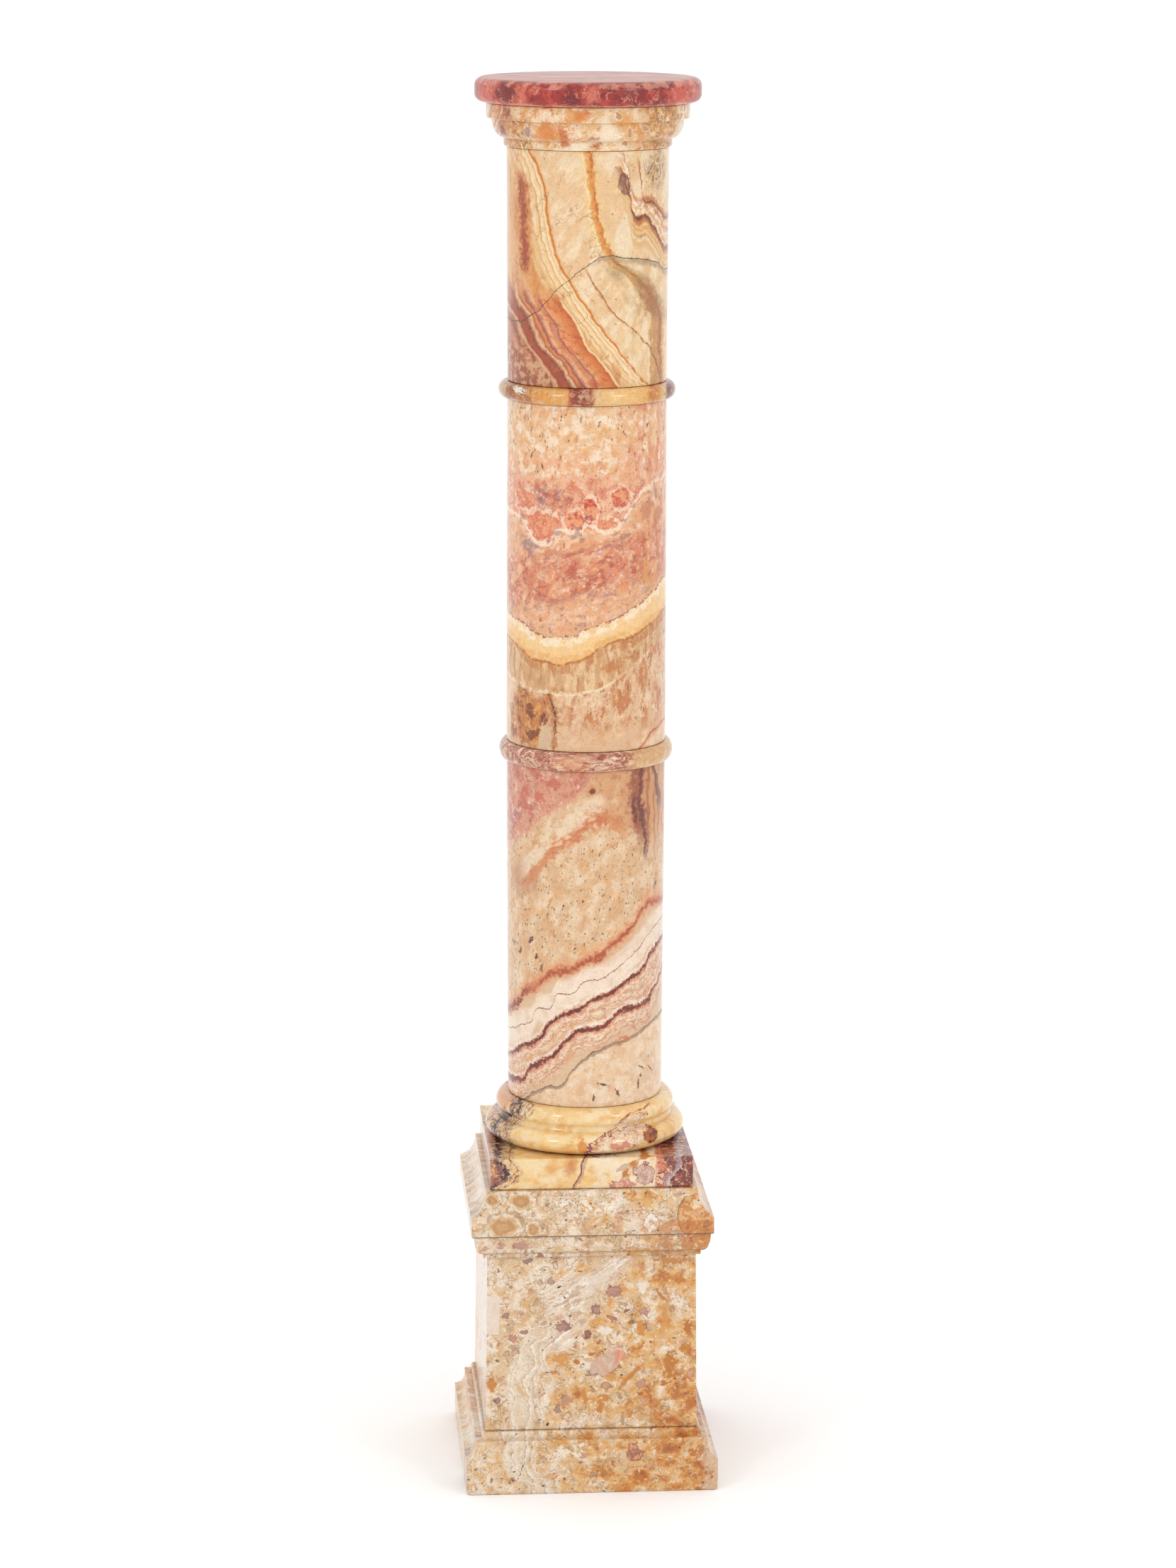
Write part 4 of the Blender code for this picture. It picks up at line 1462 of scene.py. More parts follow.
@dataclass(frozen=True)
class HoneyBreccia:
    """The capital: honey onyx with orange clouds, breaking up into ochre breccia.

    The broken ends were cemented with yellow calcite, which outlines each fragment.
    """

    def make(self) -> bpy.types.Material:
        """Return the finished material.

        Returns:
            The material, figured and polished.
        """
        f = Figure("polished_honey_breccia", "#E8C596")
        flow = f.stirred(12, 5, 4, f.shaped((1.3, 1, 1), 30))
        f.lay("#F3DFC4", 0.8, f.cloud(13, 0.44, 0.54, vector=flow))
        f.lay("#E2A45C", 0.8, f.cloud(10, 0.5, 0.58, vector=flow))
        f.lay("#D2783A", 0.65, f.cloud(9, 0.57, 0.64, vector=flow))
        f.lay("#F7ECDD", 0.7, f.contours(12, 4, 0.52, 0.58, flow), f.cloud(14, 0.42, 0.54))
        for centre, radii, tone in (
            ((-33, 1091), (9, 8), "#E09448"), ((-19, 1087), (4, 8), "#D07A3C"),
            ((-4, 1104), (7, 3.5), "#E0924A"), ((6, 1083), (5, 4), "#BE6236"),
            ((15, 1092), (7, 11), "#F8EBD6"), ((-10, 1079), (30, 2.4), "#F4E6CE"),
            ((-62, 1096), (9, 11), "#D9A070"), ((30, 1095), (4, 12), "#E9B878"),
        ):
            f.lay(tone, 0.8, f.spot(centre, radii, 15, 0.45, 0.9))
        self.broken(f)
        left = f.ramp(f.across, -56, -66)
        f.lay(
            "#C98A60", 0.75, left,
            f.stripes(f.put("Math", f.up, -0.3, f.across, operation="MULTIPLY_ADD"), 3, 0.46, 0.56),
        )
        f.lay("#8E4234", 0.85, f.spot((-66.5, 1089), (2.8, 9), 8, 0.3, 0.9), f.cloud(5, 0.36, 0.46))
        f.lay("#9A5A4C", 0.75, f.spot((-64, 1105), (3.8, 4), 0, 0.3, 0.9), f.cloud(4, 0.4, 0.5))
        pocket = f.spot((-46.5, 1091), (2.6, 5), -8, 0.2, 0.5)
        f.lay("#C0A094", 0.9, pocket)
        f.lay("#F4EADC", 0.85, f.rim(pocket))
        return f.finish(Polish())

    def broken(self, f: Figure) -> None:
        """Lay on the ochre breccia at both sides, with its pale rims and dark seams.

        Args:
            f: the figure that it is laid on.
        """
        right = f.ramp(f.put("Math", f.across, 0.45, 20, operation="MULTIPLY_ADD"), 36, 44)
        left = f.both(f.within(f.across, -60, -46, 4), f.ramp(f.up, 1104, 1098))
        both = f.put("Math", right, left, operation="MAXIMUM")
        stirred = f.stirred(5, 2.4, 4)
        f.lay("#D99A4A", 0.85, both, f.cloud(8, 0.38, 0.48))
        f.lay("#EBCFA0", 0.8, both, f.cloud(5, 0.48, 0.56, vector=stirred))
        f.lay("#8E5A2C", 0.75, both, f.threads(5, 0.03, 5, stirred), f.cloud(7, 0.44, 0.52))
        f.lay("#F5E9D6", 0.75, both, f.coats(7, 3, stirred, 0.52, 0.58), f.cloud(6, 0.5, 0.56))
        f.lay("#6E3E24", 0.75, both, f.freckles(5, 0.57))
        for centre, radii in (
            ((24, 1104), (2.2, 3.6)), ((33, 1091), (1.8, 4)), ((29, 1083), (2.4, 2.2)),
            ((44, 1094), (3, 2.4)),
        ):
            fragment = f.spot(centre, radii, 10, 0.2, 0.5)
            f.lay("#C9A07C", 0.8, fragment)
            f.lay("#F6EDE0", 0.85, f.rim(fragment))
        f.lay("#F3E4CC", 0.8, f.ramp(f.across, 66, 72), f.cloud(9, 0.4, 0.5))


@dataclass(frozen=True)
class AmberRingOnyx:
    """The upper ring: amber onyx that pales to straw, with one dark red break."""

    level: float = 886

    def make(self) -> bpy.types.Material:
        """Return the finished material.

        Returns:
            The material, figured and polished.
        """
        f = Figure("polished_amber_onyx", "#E0BC86", dip=(0.8, 0, 0), wobble=(7, 1.6))
        shade = f.tones(f.across, [
            (-75, "#D9B48C"), (-65, "#CFA67E"), (-63, "#A36A3E"), (-58, "#B9712F"), (-46, "#C47F38"),
            (-42, "#DCA052"), (-25, "#E6B268"), (-16, "#E4B270"), (-14, "#BC6A3A"), (-10, "#A04A2E"),
            (3, "#A85238"), (7, "#E8C496"), (20, "#EFCB92"), (46, "#EBC07E"), (51, "#CF8636"),
            (57, "#DEA45A"), (61, "#E3C69E"), (63, "#8C4B3A"), (68, "#8A4A3A"), (71, "#DFBE98"),
        ])
        f.lay(shade, 1, 1)
        f.lay("#F0DDBB", 0.5, f.cloud(6, 0.5, 0.64, 5))
        f.lay("#C8954F", 0.45, f.cloud(4, 0.54, 0.68, 5))
        break_zone = f.within(f.across, -13, 5, 2)
        f.lay("#D9A58C", 0.7, break_zone, f.cloud(3.4, 0.52, 0.6, 4))
        f.lay("#E9D0B2", 0.5, f.threads(7, 0.02, 3), f.within(f.across, -60, 10, 6))
        # the chip is sunk into the surface; its near-white colour is a painted highlight, the glint on its
        # facet
        chip_and_glint = f.spot((-53.5, 889.5), (5.2, 2.6), -12, 0.12, 0.9)
        f.lay("#F0E9DC", 0.95, chip_and_glint)
        f.lay("#5A4A2E", 0.9, f.spot((-50.5, 888.6), (1.5, 0.7), 0, 0.2, 0.6))
        f.dig(chip_and_glint, 0.5, 0.25)
        return f.finish(Polish(roughness=0.2))


@dataclass(frozen=True)
class MarbledRingOnyx:
    """The lower ring: pale pink onyx with brick-red marbling, tan at its right end."""

    def make(self) -> bpy.types.Material:
        """Return the finished material.

        Returns:
            The material, figured and polished.
        """
        f = Figure("polished_marbled_onyx", "#DFB9A0", dip=(0.6, 0, 0), wobble=(7, 2))
        flow = f.stirred(9, 4, 3, f.shaped((2.6, 1, 1), 8))
        f.lay("#C98F78", 0.8, f.cloud(6, 0.45, 0.6, 4, flow))
        f.lay("#F0DCC6", 0.85, f.cloud(5, 0.5, 0.58, 5, flow))
        f.lay("#A9563F", 0.85, f.threads(7, 0.03, 4, flow))
        f.lay("#A35B48", 0.7, f.cloud(3.6, 0.58, 0.66, 4, flow))
        f.lay("#DFA173", 0.6, f.spot((-12, 595), (14, 5), 0, 0.5, 0.7))
        tan = f.ramp(f.across, 30, 44)
        f.lay("#DDB582", 0.85, tan, f.cloud(10, 0.25, 0.45))
        f.lay("#EBD2AC", 0.6, tan, f.cloud(6))
        return f.finish(Polish(roughness=0.2))


@dataclass(frozen=True)
class HoneyOnyx:
    """The column's base: honey onyx, crossed by a purple vein and outlined breccia.

    Clear honey calcite lets light in, so it looks deep and warm. The breccia was
    healed with red seams, and one hole in it was filled with pink paste.
    """

    def make(self) -> bpy.types.Material:
        """Return the finished material.

        Returns:
            The material, figured and polished.
        """
        f = Figure("polished_honey_onyx", "#F2D096", dip=(0.5, 0, 0.3), wobble=(9, 1.3))
        grain = f.shaped((3.4, 1, 1), 18, vector=f.drift)
        f.lay("#F4DFB6", 0.8, f.cloud(20, 0.42, 0.58))
        f.lay("#EAB86C", 0.7, f.cloud(16, 0.5, 0.62))
        f.lay("#F8E9CC", 0.55, f.cloud(9, 0.46, 0.64, 5, grain))
        f.lay("#E4A850", 0.4, f.cloud(8, 0.53, 0.68, 5, grain))
        f.lay(
            "#F4E5D0", 0.7, f.ramp(f.across, 4, 10), f.within(f.up, 251, 276, 2),
            f.cloud(12, 0.36, 0.5),
        )
        f.lay("#D48E45", 0.8, f.spot((-11, 269), (5.5, 9), -12, 0.5, 0.4))
        f.lay("#DFA550", 0.6, f.spot((-26, 267), (6, 6), 0, 0.7, 0.5))
        self.left_vein(f)
        self.outlined(f)
        self.right_end(f)
        thin = f.right_of((-9.5, 248), (-9, 251), (-3, 262), (-1, 272), (2, 278), (4, 280))
        f.lay("#C39A8B", 0.6, f.line(thin, 1.4, 1.4, 0.6, 3), f.ramp(f.up, 281, 278))
        f.lay("#8C3B40", 0.9, f.line(thin, 0, 0.55, 0.7), f.ramp(f.up, 281, 278))
        return f.finish(Polish(roughness=0.18, coat=0.4, speckle=0.11))

    def left_vein(self, f: Figure) -> None:
        """Lay on the purple vein at the left, its gold web and the peach beyond it.

        Args:
            f: the figure that it is laid on.
        """
        path = [
            (-78, 252), (-64, 262), (-63, 266), (-69, 274), (-71, 280), (-73, 288), (-66, 294),
            (-60, 300), (-56, 306), (-52, 313),
        ]
        vein = f.right_of(*path)
        flow = f.stirred(5, 2.2, 4)
        f.lay("#E3B48E", 0.85, f.ramp(vein, -2, -8))
        f.lay("#C79072", 0.6, f.ramp(vein, -2, -6), f.cloud(5, 0.5, 0.6, vector=flow))
        plinth = f.ramp(f.up, 277, 275)
        f.lay("#B77A62", 0.85, f.ramp(vein, 0, -2), plinth, f.cloud(5, 0.4, 0.5, vector=flow))
        f.lay("#6E3A3C", 0.8, f.ramp(vein, 0, -3), plinth, f.freckles(7, 0.55, flow))
        web = f.within(vein, 1, 12, 3)
        f.lay("#E6C394", 0.8, web, f.cloud(5, 0.35, 0.5))
        f.lay("#F1E4D2", 0.8, web, f.cloud(4, 0.5, 0.58, vector=flow))
        f.lay("#6B4A2E", 0.85, web, f.threads(4.5, 0.03, 5, flow), f.cloud(7, 0.42, 0.5))
        f.lay("#B97A2E", 0.7, web, f.freckles(6, 0.57, flow))
        f.lay("#A8662F", 0.8, f.line(vein, 10, 0.5, 1.4, 2.5), f.cloud(6, 0.36, 0.46))
        f.lay("#8F5E58", 0.8, f.line(vein, -1, 4.2, 1.4, 3.5, 0.6), f.cloud(5, 0.44, 0.52, vector=flow))
        f.lay("#5A2E36", 0.98, f.line(vein, 0, 2.6, 1.6, 3, 0.4), f.cloud(6, 0.4, 0.45, vector=flow))

    def outlined(self, f: Figure) -> None:
        """Lay on the red-outlined breccia on the rolls, its paste fill and amber spot.

        Args:
            f: the figure that it is laid on.
        """
        f.lay("#E0983C", 0.85, f.spot((-2, 285), (4, 7), 10, 0.2, 0.6))
        for centre, radii, tilt in (((25, 286), (28, 9), 12), ((38, 301), (13, 4.2), 16)):
            patch = f.spot(centre, radii, tilt, 0.08, 0.45)
            f.lay("#EACBAA", 0.85, patch)
            f.lay("#F4E6D4", 0.8, patch, f.cloud(5, 0.5, 0.58))
            f.lay("#D99C78", 0.75, patch, f.freckles(8, 0.54))
            f.lay("#B5625A", 0.8, patch, f.threads(6, 0.022, 5), f.cloud(8, 0.46, 0.54))
            f.lay("#93384A", 0.9, f.close_to(patch, 0.5, 0.33, 0.45), f.cloud(6, 0.36, 0.44))
        for centre, radii, tilt in (
            ((23.5, 284.5), (3.8, 3.2), -10), ((29, 283), (4.6, 2.2), 0), ((33, 284.8), (3, 2.6), 20),
        ):
            paste = f.spot(centre, radii, tilt, 0.06, 0.4)
            f.lay("#DA9C86", 0.98, paste)
        f.lay("#D69A58", 0.6, f.spot((9, 284.5), (3, 2.6), 0, 0.3, 0.7))
        amber = f.spot((53.5, 288), (5.4, 6), 25, 0.14, 0.55)
        f.lay("#C07418", 0.95, amber)
        f.lay("#6B3208", 0.85, amber, f.cloud(4, 0.48, 0.54))
        f.lay("#E2A24C", 0.7, amber, f.freckles(4, 0.58))
        red = f.above((26, 300), (30, 303), (36, 306), (44, 309), (52, 311))
        f.lay(
            "#A8403A", 0.8, f.line(red, 0, 0.7, 1.4, 2), f.within(f.across, 27, 52, 2),
            f.cloud(4, 0.4, 0.48),
        )

    def right_end(self, f: Figure) -> None:
        """Lay on the plinth's right end: ochre band, lilac pocket, salmon and grey breccia.

        Args:
            f: the figure that it is laid on.
        """
        low = f.ramp(f.up, 280, 277)
        flow = f.stirred(4, 2.4, 5)
        bow = f.right_of((30, 250), (35, 262), (40, 270), (50, 277), (56, 283))
        f.lay(
            "#C8801E", 0.9, f.line(bow, 0, 3.2, 0.9, 5), low, f.ramp(f.up, 256, 261),
            f.cloud(7, 0.34, 0.44),
        )
        broken = f.both(f.ramp(f.across, 56, 59), low)
        dark = f.both(
            f.ramp(f.put("Math", f.up, 0.3, f.across, operation="MULTIPLY_ADD"), 144, 149), low,
        )
        f.lay("#DE9470", 0.92, broken)
        f.lay("#B05C46", 0.9, dark)
        f.lay("#F0D8C2", 0.85, broken, f.cloud(4, 0.52, 0.57, vector=flow))
        f.lay("#C65A3C", 0.8, broken, f.cloud(5, 0.53, 0.6, vector=flow))
        f.lay("#8A4A3E", 0.8, dark, f.cloud(5, 0.46, 0.54, vector=flow))
        f.lay("#5E2C28", 0.85, broken, f.threads(4, 0.03, 5, flow), f.cloud(6, 0.46, 0.54))
        pocket = f.spot((48, 262), (8.5, 9.5), 0, 0.08, 0.5)
        f.lay("#DDBBAA", 0.95, pocket, low)
        f.lay("#EEDCCF", 0.75, pocket, low, f.cloud(5, 0.48, 0.56, vector=flow))
        f.lay("#B57C70", 0.6, pocket, low, f.threads(4, 0.03, 4, flow))
        crumbs = f.spot((31, 253), (11, 4.6), 6, 0.1, 0.6)
        f.lay("#DB9680", 0.9, crumbs, low)
        f.lay("#F2D3C0", 0.8, crumbs, low, f.cloud(4, 0.5, 0.56, vector=flow))
        edges = f.put(
            "Math", f.both(f.rim(f.both(pocket, low)), low), f.both(f.rim(crumbs), low),
            operation="MAXIMUM",
        )
        f.lay("#8E343A", 0.85, edges, f.cloud(4, 0.36, 0.44))
        sliver = f.spot((31, 267), (6, 2.2), 20, 0.1, 0.5)
        f.lay("#D3B7A0", 0.8, sliver, low)
        f.lay("#9C6A50", 0.6, f.rim(sliver), low)
        grey = f.right_of((66, 250), (69, 260), (75, 266), (76, 277))
        wander = f.put(
            "Math", f.noise(5, 5), 14, f.put("Math", grey, 7, operation="SUBTRACT"),
            operation="MULTIPLY_ADD",
        )
        f.lay("#B9AAB2", 0.85, f.line(wander, 0, 1.8, 1.2, 2), low)
        f.lay("#E6D9D6", 0.8, f.line(wander, 1.6, 0.8, 1.4, 2), low, f.cloud(4, 0.4, 0.5))


@dataclass(frozen=True)
class ShellyOnyx:
    """The block: pale travertine onyx full of shells, pebbles and ochre mud.

    Each piece was coated layer by layer before the next fell in, which leaves nested
    outlines. Sawn, jointed and polished, it still shows small open pits.
    """

    part: BlockPart
    cream: str = "#E4CAA9"
    gold: str = "#DCA35A"
    ochre: str = "#C98338"
    outline: str = "#6A4536"

    def make(self) -> bpy.types.Material:
        """Return the finished material.

        Returns:
            The material, figured and polished.
        """
        name = self.part.value.replace("pedestal", "polished_shelly_onyx")
        f = Figure(name, self.cream, 0, -84, (0.9, 0, 0.35), (9, 2.2))
        flow = f.stirred(14, 4, 4)
        f.lay("#F1E5D6", 0.8, f.cloud(15, 0.46, 0.56, vector=flow))
        f.lay("#D9AE7C", 0.65, f.cloud(9, 0.52, 0.6, vector=flow))
        f.lay("#BC9A75", 0.7, f.contours(15, 5, 0.53, 0.58, flow), f.cloud(13, 0.46, 0.55))
        f.lay(
            "#F8F1E6", 0.75, f.contours(12, 5, 0.54, 0.6, f.stirred(10, 4, 3)), f.cloud(16, 0.47, 0.56),
        )
        self.mud(f, flow)
        self.pebbles(f)
        if self.part is not BlockPart.CAP:
            self.waves(f)
        if self.part is BlockPart.DIE:
            self.die_left(f)
            self.die_right(f)
        elif self.part is BlockPart.CAP:
            self.cap_marks(f, flow)
        else:
            self.base_marks(f)
        self.joints(f)
        self.side(f)
        pits = f.grains(6, 0.12, 0.35, f.shaped((1.6, 1, 1), 15, vector=f.drift))
        f.lay("#5E3A2A", 0.8, pits)
        f.lay("#8E4E34", 0.75, f.freckles(5, 0.62), f.cloud(30, 0.4, 0.55))
        f.dig(pits, 0.25, 0.2)
        return f.finish(Polish(roughness=0.22))

    def mud(self, f: Figure, flow: Socket) -> None:
        """Lay on the golden mud that thickens to the right and to the foot.

        Args:
            f: the figure that it is laid on.
            flow: places pushed about by soft noise.
        """
        swirl = f.noise(21, 8, flow, 0.66)
        rightward = f.put("Math", f.across, 0.0011, swirl, operation="MULTIPLY_ADD")
        lean = f.put("Math", f.up, -0.00045, rightward, operation="MULTIPLY_ADD")
        f.lay("#E6BE84", 0.75, f.ramp(lean, 0.43, 0.5))
        f.lay(self.gold, 0.8, f.ramp(lean, 0.51, 0.57))
        f.lay(self.ochre, 0.85, f.ramp(lean, 0.585, 0.63))
        f.lay("#A8622A", 0.7, f.ramp(lean, 0.655, 0.7))
        f.lay("#F2E2CB", 0.8, f.cloud(6, 0.54, 0.6), f.contours(9, 3, 0.46, 0.54, flow))
        f.lay("#CE8C44", 0.7, f.freckles(8, 0.55), f.ramp(f.across, -70, 40))

    def pebbles(self, f: Figure) -> None:
        """Lay on the scattered pebbles with their coats.

        Args:
            f: the figure that it is laid on.
        """
        stirred = f.stirred(6, 2, 4, f.shaped((1.3, 1, 0.9), 20, vector=f.drift))
        coats = f.both(f.coats(15, 4, stirred, 0.52, 0.57), f.cloud(11, 0.5, 0.56))
        f.lay("#A98662", 0.55, coats)
        for spacing, size, share, tone in (
            (19, 0.2, 0.3, "#C9A28E"), (9.5, 0.24, 0.22, "#D8AC92"), (7, 0.2, 0.16, "#B4765A"),
        ):
            stone = f.grains(spacing, size, share, stirred, 0.14)
            f.lay(tone, 0.8, stone)
            f.lay("#7C543F", 0.65, f.rim(stone), f.cloud(5, 0.46, 0.54))
        f.lay("#8A6448", 0.5, f.threads(11, 0.01, 5), f.cloud(8, 0.6, 0.66))

    def marks(self, f: Figure, marks: tuple, ragged: float = 0.5) -> None:
        """Lay on patches, each a middle, radii, lean, colour and the strength of its outline.

        Args:
            f: the figure that it is laid on.
            marks: middle, radii, lean, colour and outline's strength of each.
            ragged: how far their edges stray, as a share of the radius.
        """
        stray = f.put("Math", f.noise(3, 4), 0.5, operation="SUBTRACT")
        for centre, radii, tilt, tone, edge in marks:
            grown = 1.2 if edge > 0 else 1.05
            reach = f.reach(centre, (grown * radii[0], grown * radii[1]), tilt, stray, ragged)
            patch = f.outlined(reach, tone, self.outline, 0.6 * edge) if edge > 0 else tone
            f.lay(patch, 1, f.ramp(reach, 1.02, 0.9))

    def waves(self, f: Figure) -> None:
        """Lay on the wavy layers that come down the left of the die and the base.

        Args:
            f: the figure that it is laid on.
        """
        waves = f.right_of(
            (-34, 140), (-40, 128), (-46, 118), (-50, 105), (-55, 90), (-54, 75), (-51, 60), (-53, 45),
            (-58, 30), (-52, 16), (-40, 8), (-38, 0),
        )
        roaming = f.put("Math", f.noise(22, 4), 30, waves, operation="MULTIPLY_ADD")
        band = f.both(f.within(waves, -11, 9, 6), f.ramp(f.up, 140, 122))
        f.lay("#EADCC9", 0.75, band, f.cloud(9, 0.38, 0.5))
        f.lay("#C2A684", 0.5, band, f.stripes(roaming, 3.4, 0.5, 0.6))
        f.lay("#F7EEE0", 0.7, band, f.stripes(roaming, 3.8, 0.52, 0.6))

    def die_left(self, f: Figure) -> None:
        """Lay on the die's left half: pale fibres, wavy layers and small clasts.

        Args:
            f: the figure that it is laid on.
        """
        for centre, radii, tilt in (
            ((-16, 163), (30, 17), 24), ((12, 180), (30, 9), 34), ((-20, 128), (26, 9), 35),
        ):
            fibres = f.spot(centre, radii, tilt, 0.35, 0.5)
            f.lay("#EBDCCB", 0.85, fibres)
            hairs = f.shaped((8, 1, 1), tilt + 4, vector=f.drift)
            f.lay("#C9A88C", 0.75, fibres, f.cloud(3, 0.5, 0.58, 3, hairs))
            f.lay(
                "#F8F1E8", 0.8, fibres,
                f.cloud(3.8, 0.52, 0.6, 3, f.shaped((7, 1, 1), tilt + 2, (9, 0, 5), f.drift)),
            )
        self.marks(f, (
            ((-23, 136), (6.6, 5.5), 0, "#C49C8C", 0.7), ((4, 150), (4.5, 5.2), 35, "#C4A08E", 0.9),
            ((-65, 127), (4.2, 3.6), 0, "#D3A08A", 0.4), ((-55, 132), (3.8, 1.8), 0, "#B79886", 0.6),
            ((-33, 175), (3.4, 3.4), 30, "#C8AA98", 0.4), ((-70, 146), (3.2, 2.6), -15, "#B9998A", 0.7),
            
            ((-3.5, 130), (2.8, 3.8), 0, "#B08068", 0.8), ((-52, 191), (5, 2.6), 0, "#B39485", 0.5),
            ((-27, 66), (4, 3.6), 0, "#C2A08C", 0.5), 
            ((-8, 182), (2.8, 1.1), 8, "#C07848", 0.8), 
            ((-77, 74), (3.2, 2.6), 0, "#BA9888", 0.9), 
            ((-27, 169), (1.5, 1.1), 0, "#4A2E28", 0.3), 
            ((-35, 54), (1.8, 1.5), 0, "#3E2A24", 0.3), ((-80, 88), (4.5, 9), 0, "#D59A52", 0),
            ((-24, 108), (9, 7), 0, "#DCA868", 0), ((-12, 106), (3, 3), 0, "#CC8A3C", 0),
            ((-30, 98), (4, 3), 0, "#D09A68", 0), ((-1, 112), (3.4, 1.8), 0, "#D08A3A", 0),
        ))

    def die_right(self, f: Figure) -> None:
        """Lay on the die's right half: the banded clast, golden bars and dark spots.

        Args:
            f: the figure that it is laid on.
        """
        clast = f.spot((14, 105), (21.5, 10), 27, 0.08, 0.3)
        f.lay("#D9BBA8", 0.92, clast)
        f.lay("#E9D5C4", 0.7, clast, f.freckles(6, 0.53))
        salmon = f.both(clast, f.spot((26, 109), (10.5, 11), 0, 0.15, 0.3))
        f.lay("#E29C7C", 0.85, salmon)
        f.lay(
            "#EBBD9C", 0.85, salmon,
            f.stripes(f.right_of((17, 95), (22, 108), (23, 120)), 2, 0.5, 0.58),
        )
        f.lay("#7E5C4C", 0.8, f.rim(clast), f.ramp(f.up, 106, 98), f.cloud(4, 0.36, 0.46))
        self.marks(f, (
            ((17, 165), (6.6, 5), 10, "#CBA08E", 0.5), ((42, 147), (5, 3.6), 0, "#CFA592", 0.4),
            ((28, 148.5), (2.6, 2.4), 0, "#B47C5E", 0.8),
            ((33, 139), (2.3, 2.3), 0, "#B8886A", 0.9), ((16, 143), (5, 2.2), -30, "#C8957A", 0.5),
            ((42, 135), (2.6, 3.4), 0, "#B88C70", 0.8), ((40, 86), (5.5, 3.6), 10, "#D3A48C", 0.4),
            ((12, 86), (5, 4), 0, "#D6AC8A", 0.9), ((81, 94), (3.4, 2.8), 0, "#DDAF94", 0.4),
            ((12, 131), (7.4, 4.2), 0, "#F0E2D0", 0.2), ((41, 168), (5, 8.5), 10, "#F0E2D0", 0.2),
            
        ))
        self.marks(f, (
            ((64, 103), (5.5, 15), -12, "#CC8E40", 0), ((58, 87), (6.5, 3.6), 10, "#CC8C3E", 0),
            ((78, 134), (4.6, 8), 0, "#C98838", 0), ((77, 117), (6, 4), 20, "#D09444", 0),
            ((71, 174), (6.5, 3.6), -14, "#CE9040", 0), 
            ((10, 75), (6.5, 4), 10, "#D49A4A", 0), ((6, 67), (3, 6), 0, "#D29848", 0),
            ((69, 76), (4.6, 4.4), 20, "#C98C48", 0), ((75, 62), (5.6, 2.2), 0, "#D0964C", 0),
            ((40, 133), (4, 8), 0, "#D8A055", 0), ((32, 60), (4, 5), 0, "#D29A55", 0),
            ((65, 190), (16, 4), 0, "#CF9A62", 0), ((-5, 76), (3.4, 7), 0, "#D39C52", 0),
        ), 0.9)
        for centre, radii, tilt, tone in (
            ((32, 93), (16.5, 2.7), 50, "#D09242"), ((61, 148), (2.2, 24), -6, "#DAA766"),
            ((57, 160), (1.6, 9), 32, "#C88E48"), ((52, 71), (18, 1.8), 20, "#D49C5C"),
        ):
            f.lay(tone, 0.9, f.spot(centre, radii, tilt, 0.2, 0.45))
        filled = f.both(
            f.within(f.across, -90, -75.5, 0.6), f.within(f.up, 131.5, 163, 0.8),
            f.ramp(f.behind, 6, 3),
        )
        f.lay("#EBDDCE", 0.95, filled)

    def cap_marks(self, f: Figure, flow: Socket) -> None:
        """Lay on the cap's tan orbs, its white swirls, ringed spot and amber corner.

        Args:
            f: the figure that it is laid on.
            flow: places pushed about by soft noise.
        """
        swirls = f.both(f.spot((-2, 236), (34, 14), 0, 0.4, 0.5), f.contours(11, 3, 0.47, 0.53, flow))
        f.lay("#F6EEE2", 0.85, swirls)
        f.lay(
            "#A88C68", 0.7, f.spot((-16, 236), (22, 13), 0, 0.4, 0.5),
            f.contours(9, 4, 0.54, 0.58, flow),
        )
        for centre, radii in (
            ((-72, 224), (15, 9.5)), ((-57, 242), (11, 7.5)), ((-80, 243), (8, 6)),
            ((-48, 222), (7, 6)),
        ):
            for share, tone, strength in (
                (1.15, "#B99A72", 0.5), (1, "#F1E4D2", 0.85), (0.84, "#DDBD95", 0.9),
                (0.62, "#CBA06C", 0.85), (0.3, "#D9B588", 0.7),
            ):
                ring = f.spot(
                    centre, (radii[0] * share, radii[1] * share), 10, 0.08, 0.4, depth=26, front=-92,
                )
                f.lay(tone, strength, ring)
        ringed = f.spot((47, 225), (6.8, 6.2), 0, 0.12, 0.3, depth=26, front=-94)
        f.lay("#F4ECE0", 0.95, ringed)
        f.lay("#8E7660", 0.85, f.rim(ringed), f.cloud(2, 0.44, 0.5))
        f.lay(
            "#B9A288", 0.6, f.spot((47, 225), (3, 2.6), 0, 0.2, 0.5, depth=26, front=-94),
            f.cloud(2, 0.45, 0.52),
        )
        lobe = f.spot((84, 228), (16, 17), 0, 0.06, 0.3, depth=30, front=-92)
        f.lay("#D6964E", 0.9, lobe, f.cloud(9, 0.3, 0.42))
        f.lay("#E9C79A", 0.8, lobe, f.contours(10, 3, 0.46, 0.54, flow))
        f.lay("#B46A24", 0.85, lobe, f.spot((77, 223), (5, 8), 20, 0.15, 0.5))
        f.lay("#F0DFC6", 0.85, lobe, f.spot((84, 238), (5.5, 4), 20, 0.15, 0.6))
        f.lay("#8A3C24", 0.7, lobe, f.within(f.across, 89, 95, 1.5), f.freckles(5, 0.53))
        f.lay("#6A3A22", 0.7, f.rim(lobe), f.cloud(5, 0.38, 0.48))
        band = f.both(f.ramp(f.across, 20, 70), f.within(f.up, 198, 226, 3), f.cloud(7, 0.42, 0.52))
        f.lay("#CB8A4A", 0.7, band)
        f.lay("#C79C8A", 0.85, f.spot((-57, 207), (8, 3.6), 0, 0.15, 0.4, depth=20, front=-92))

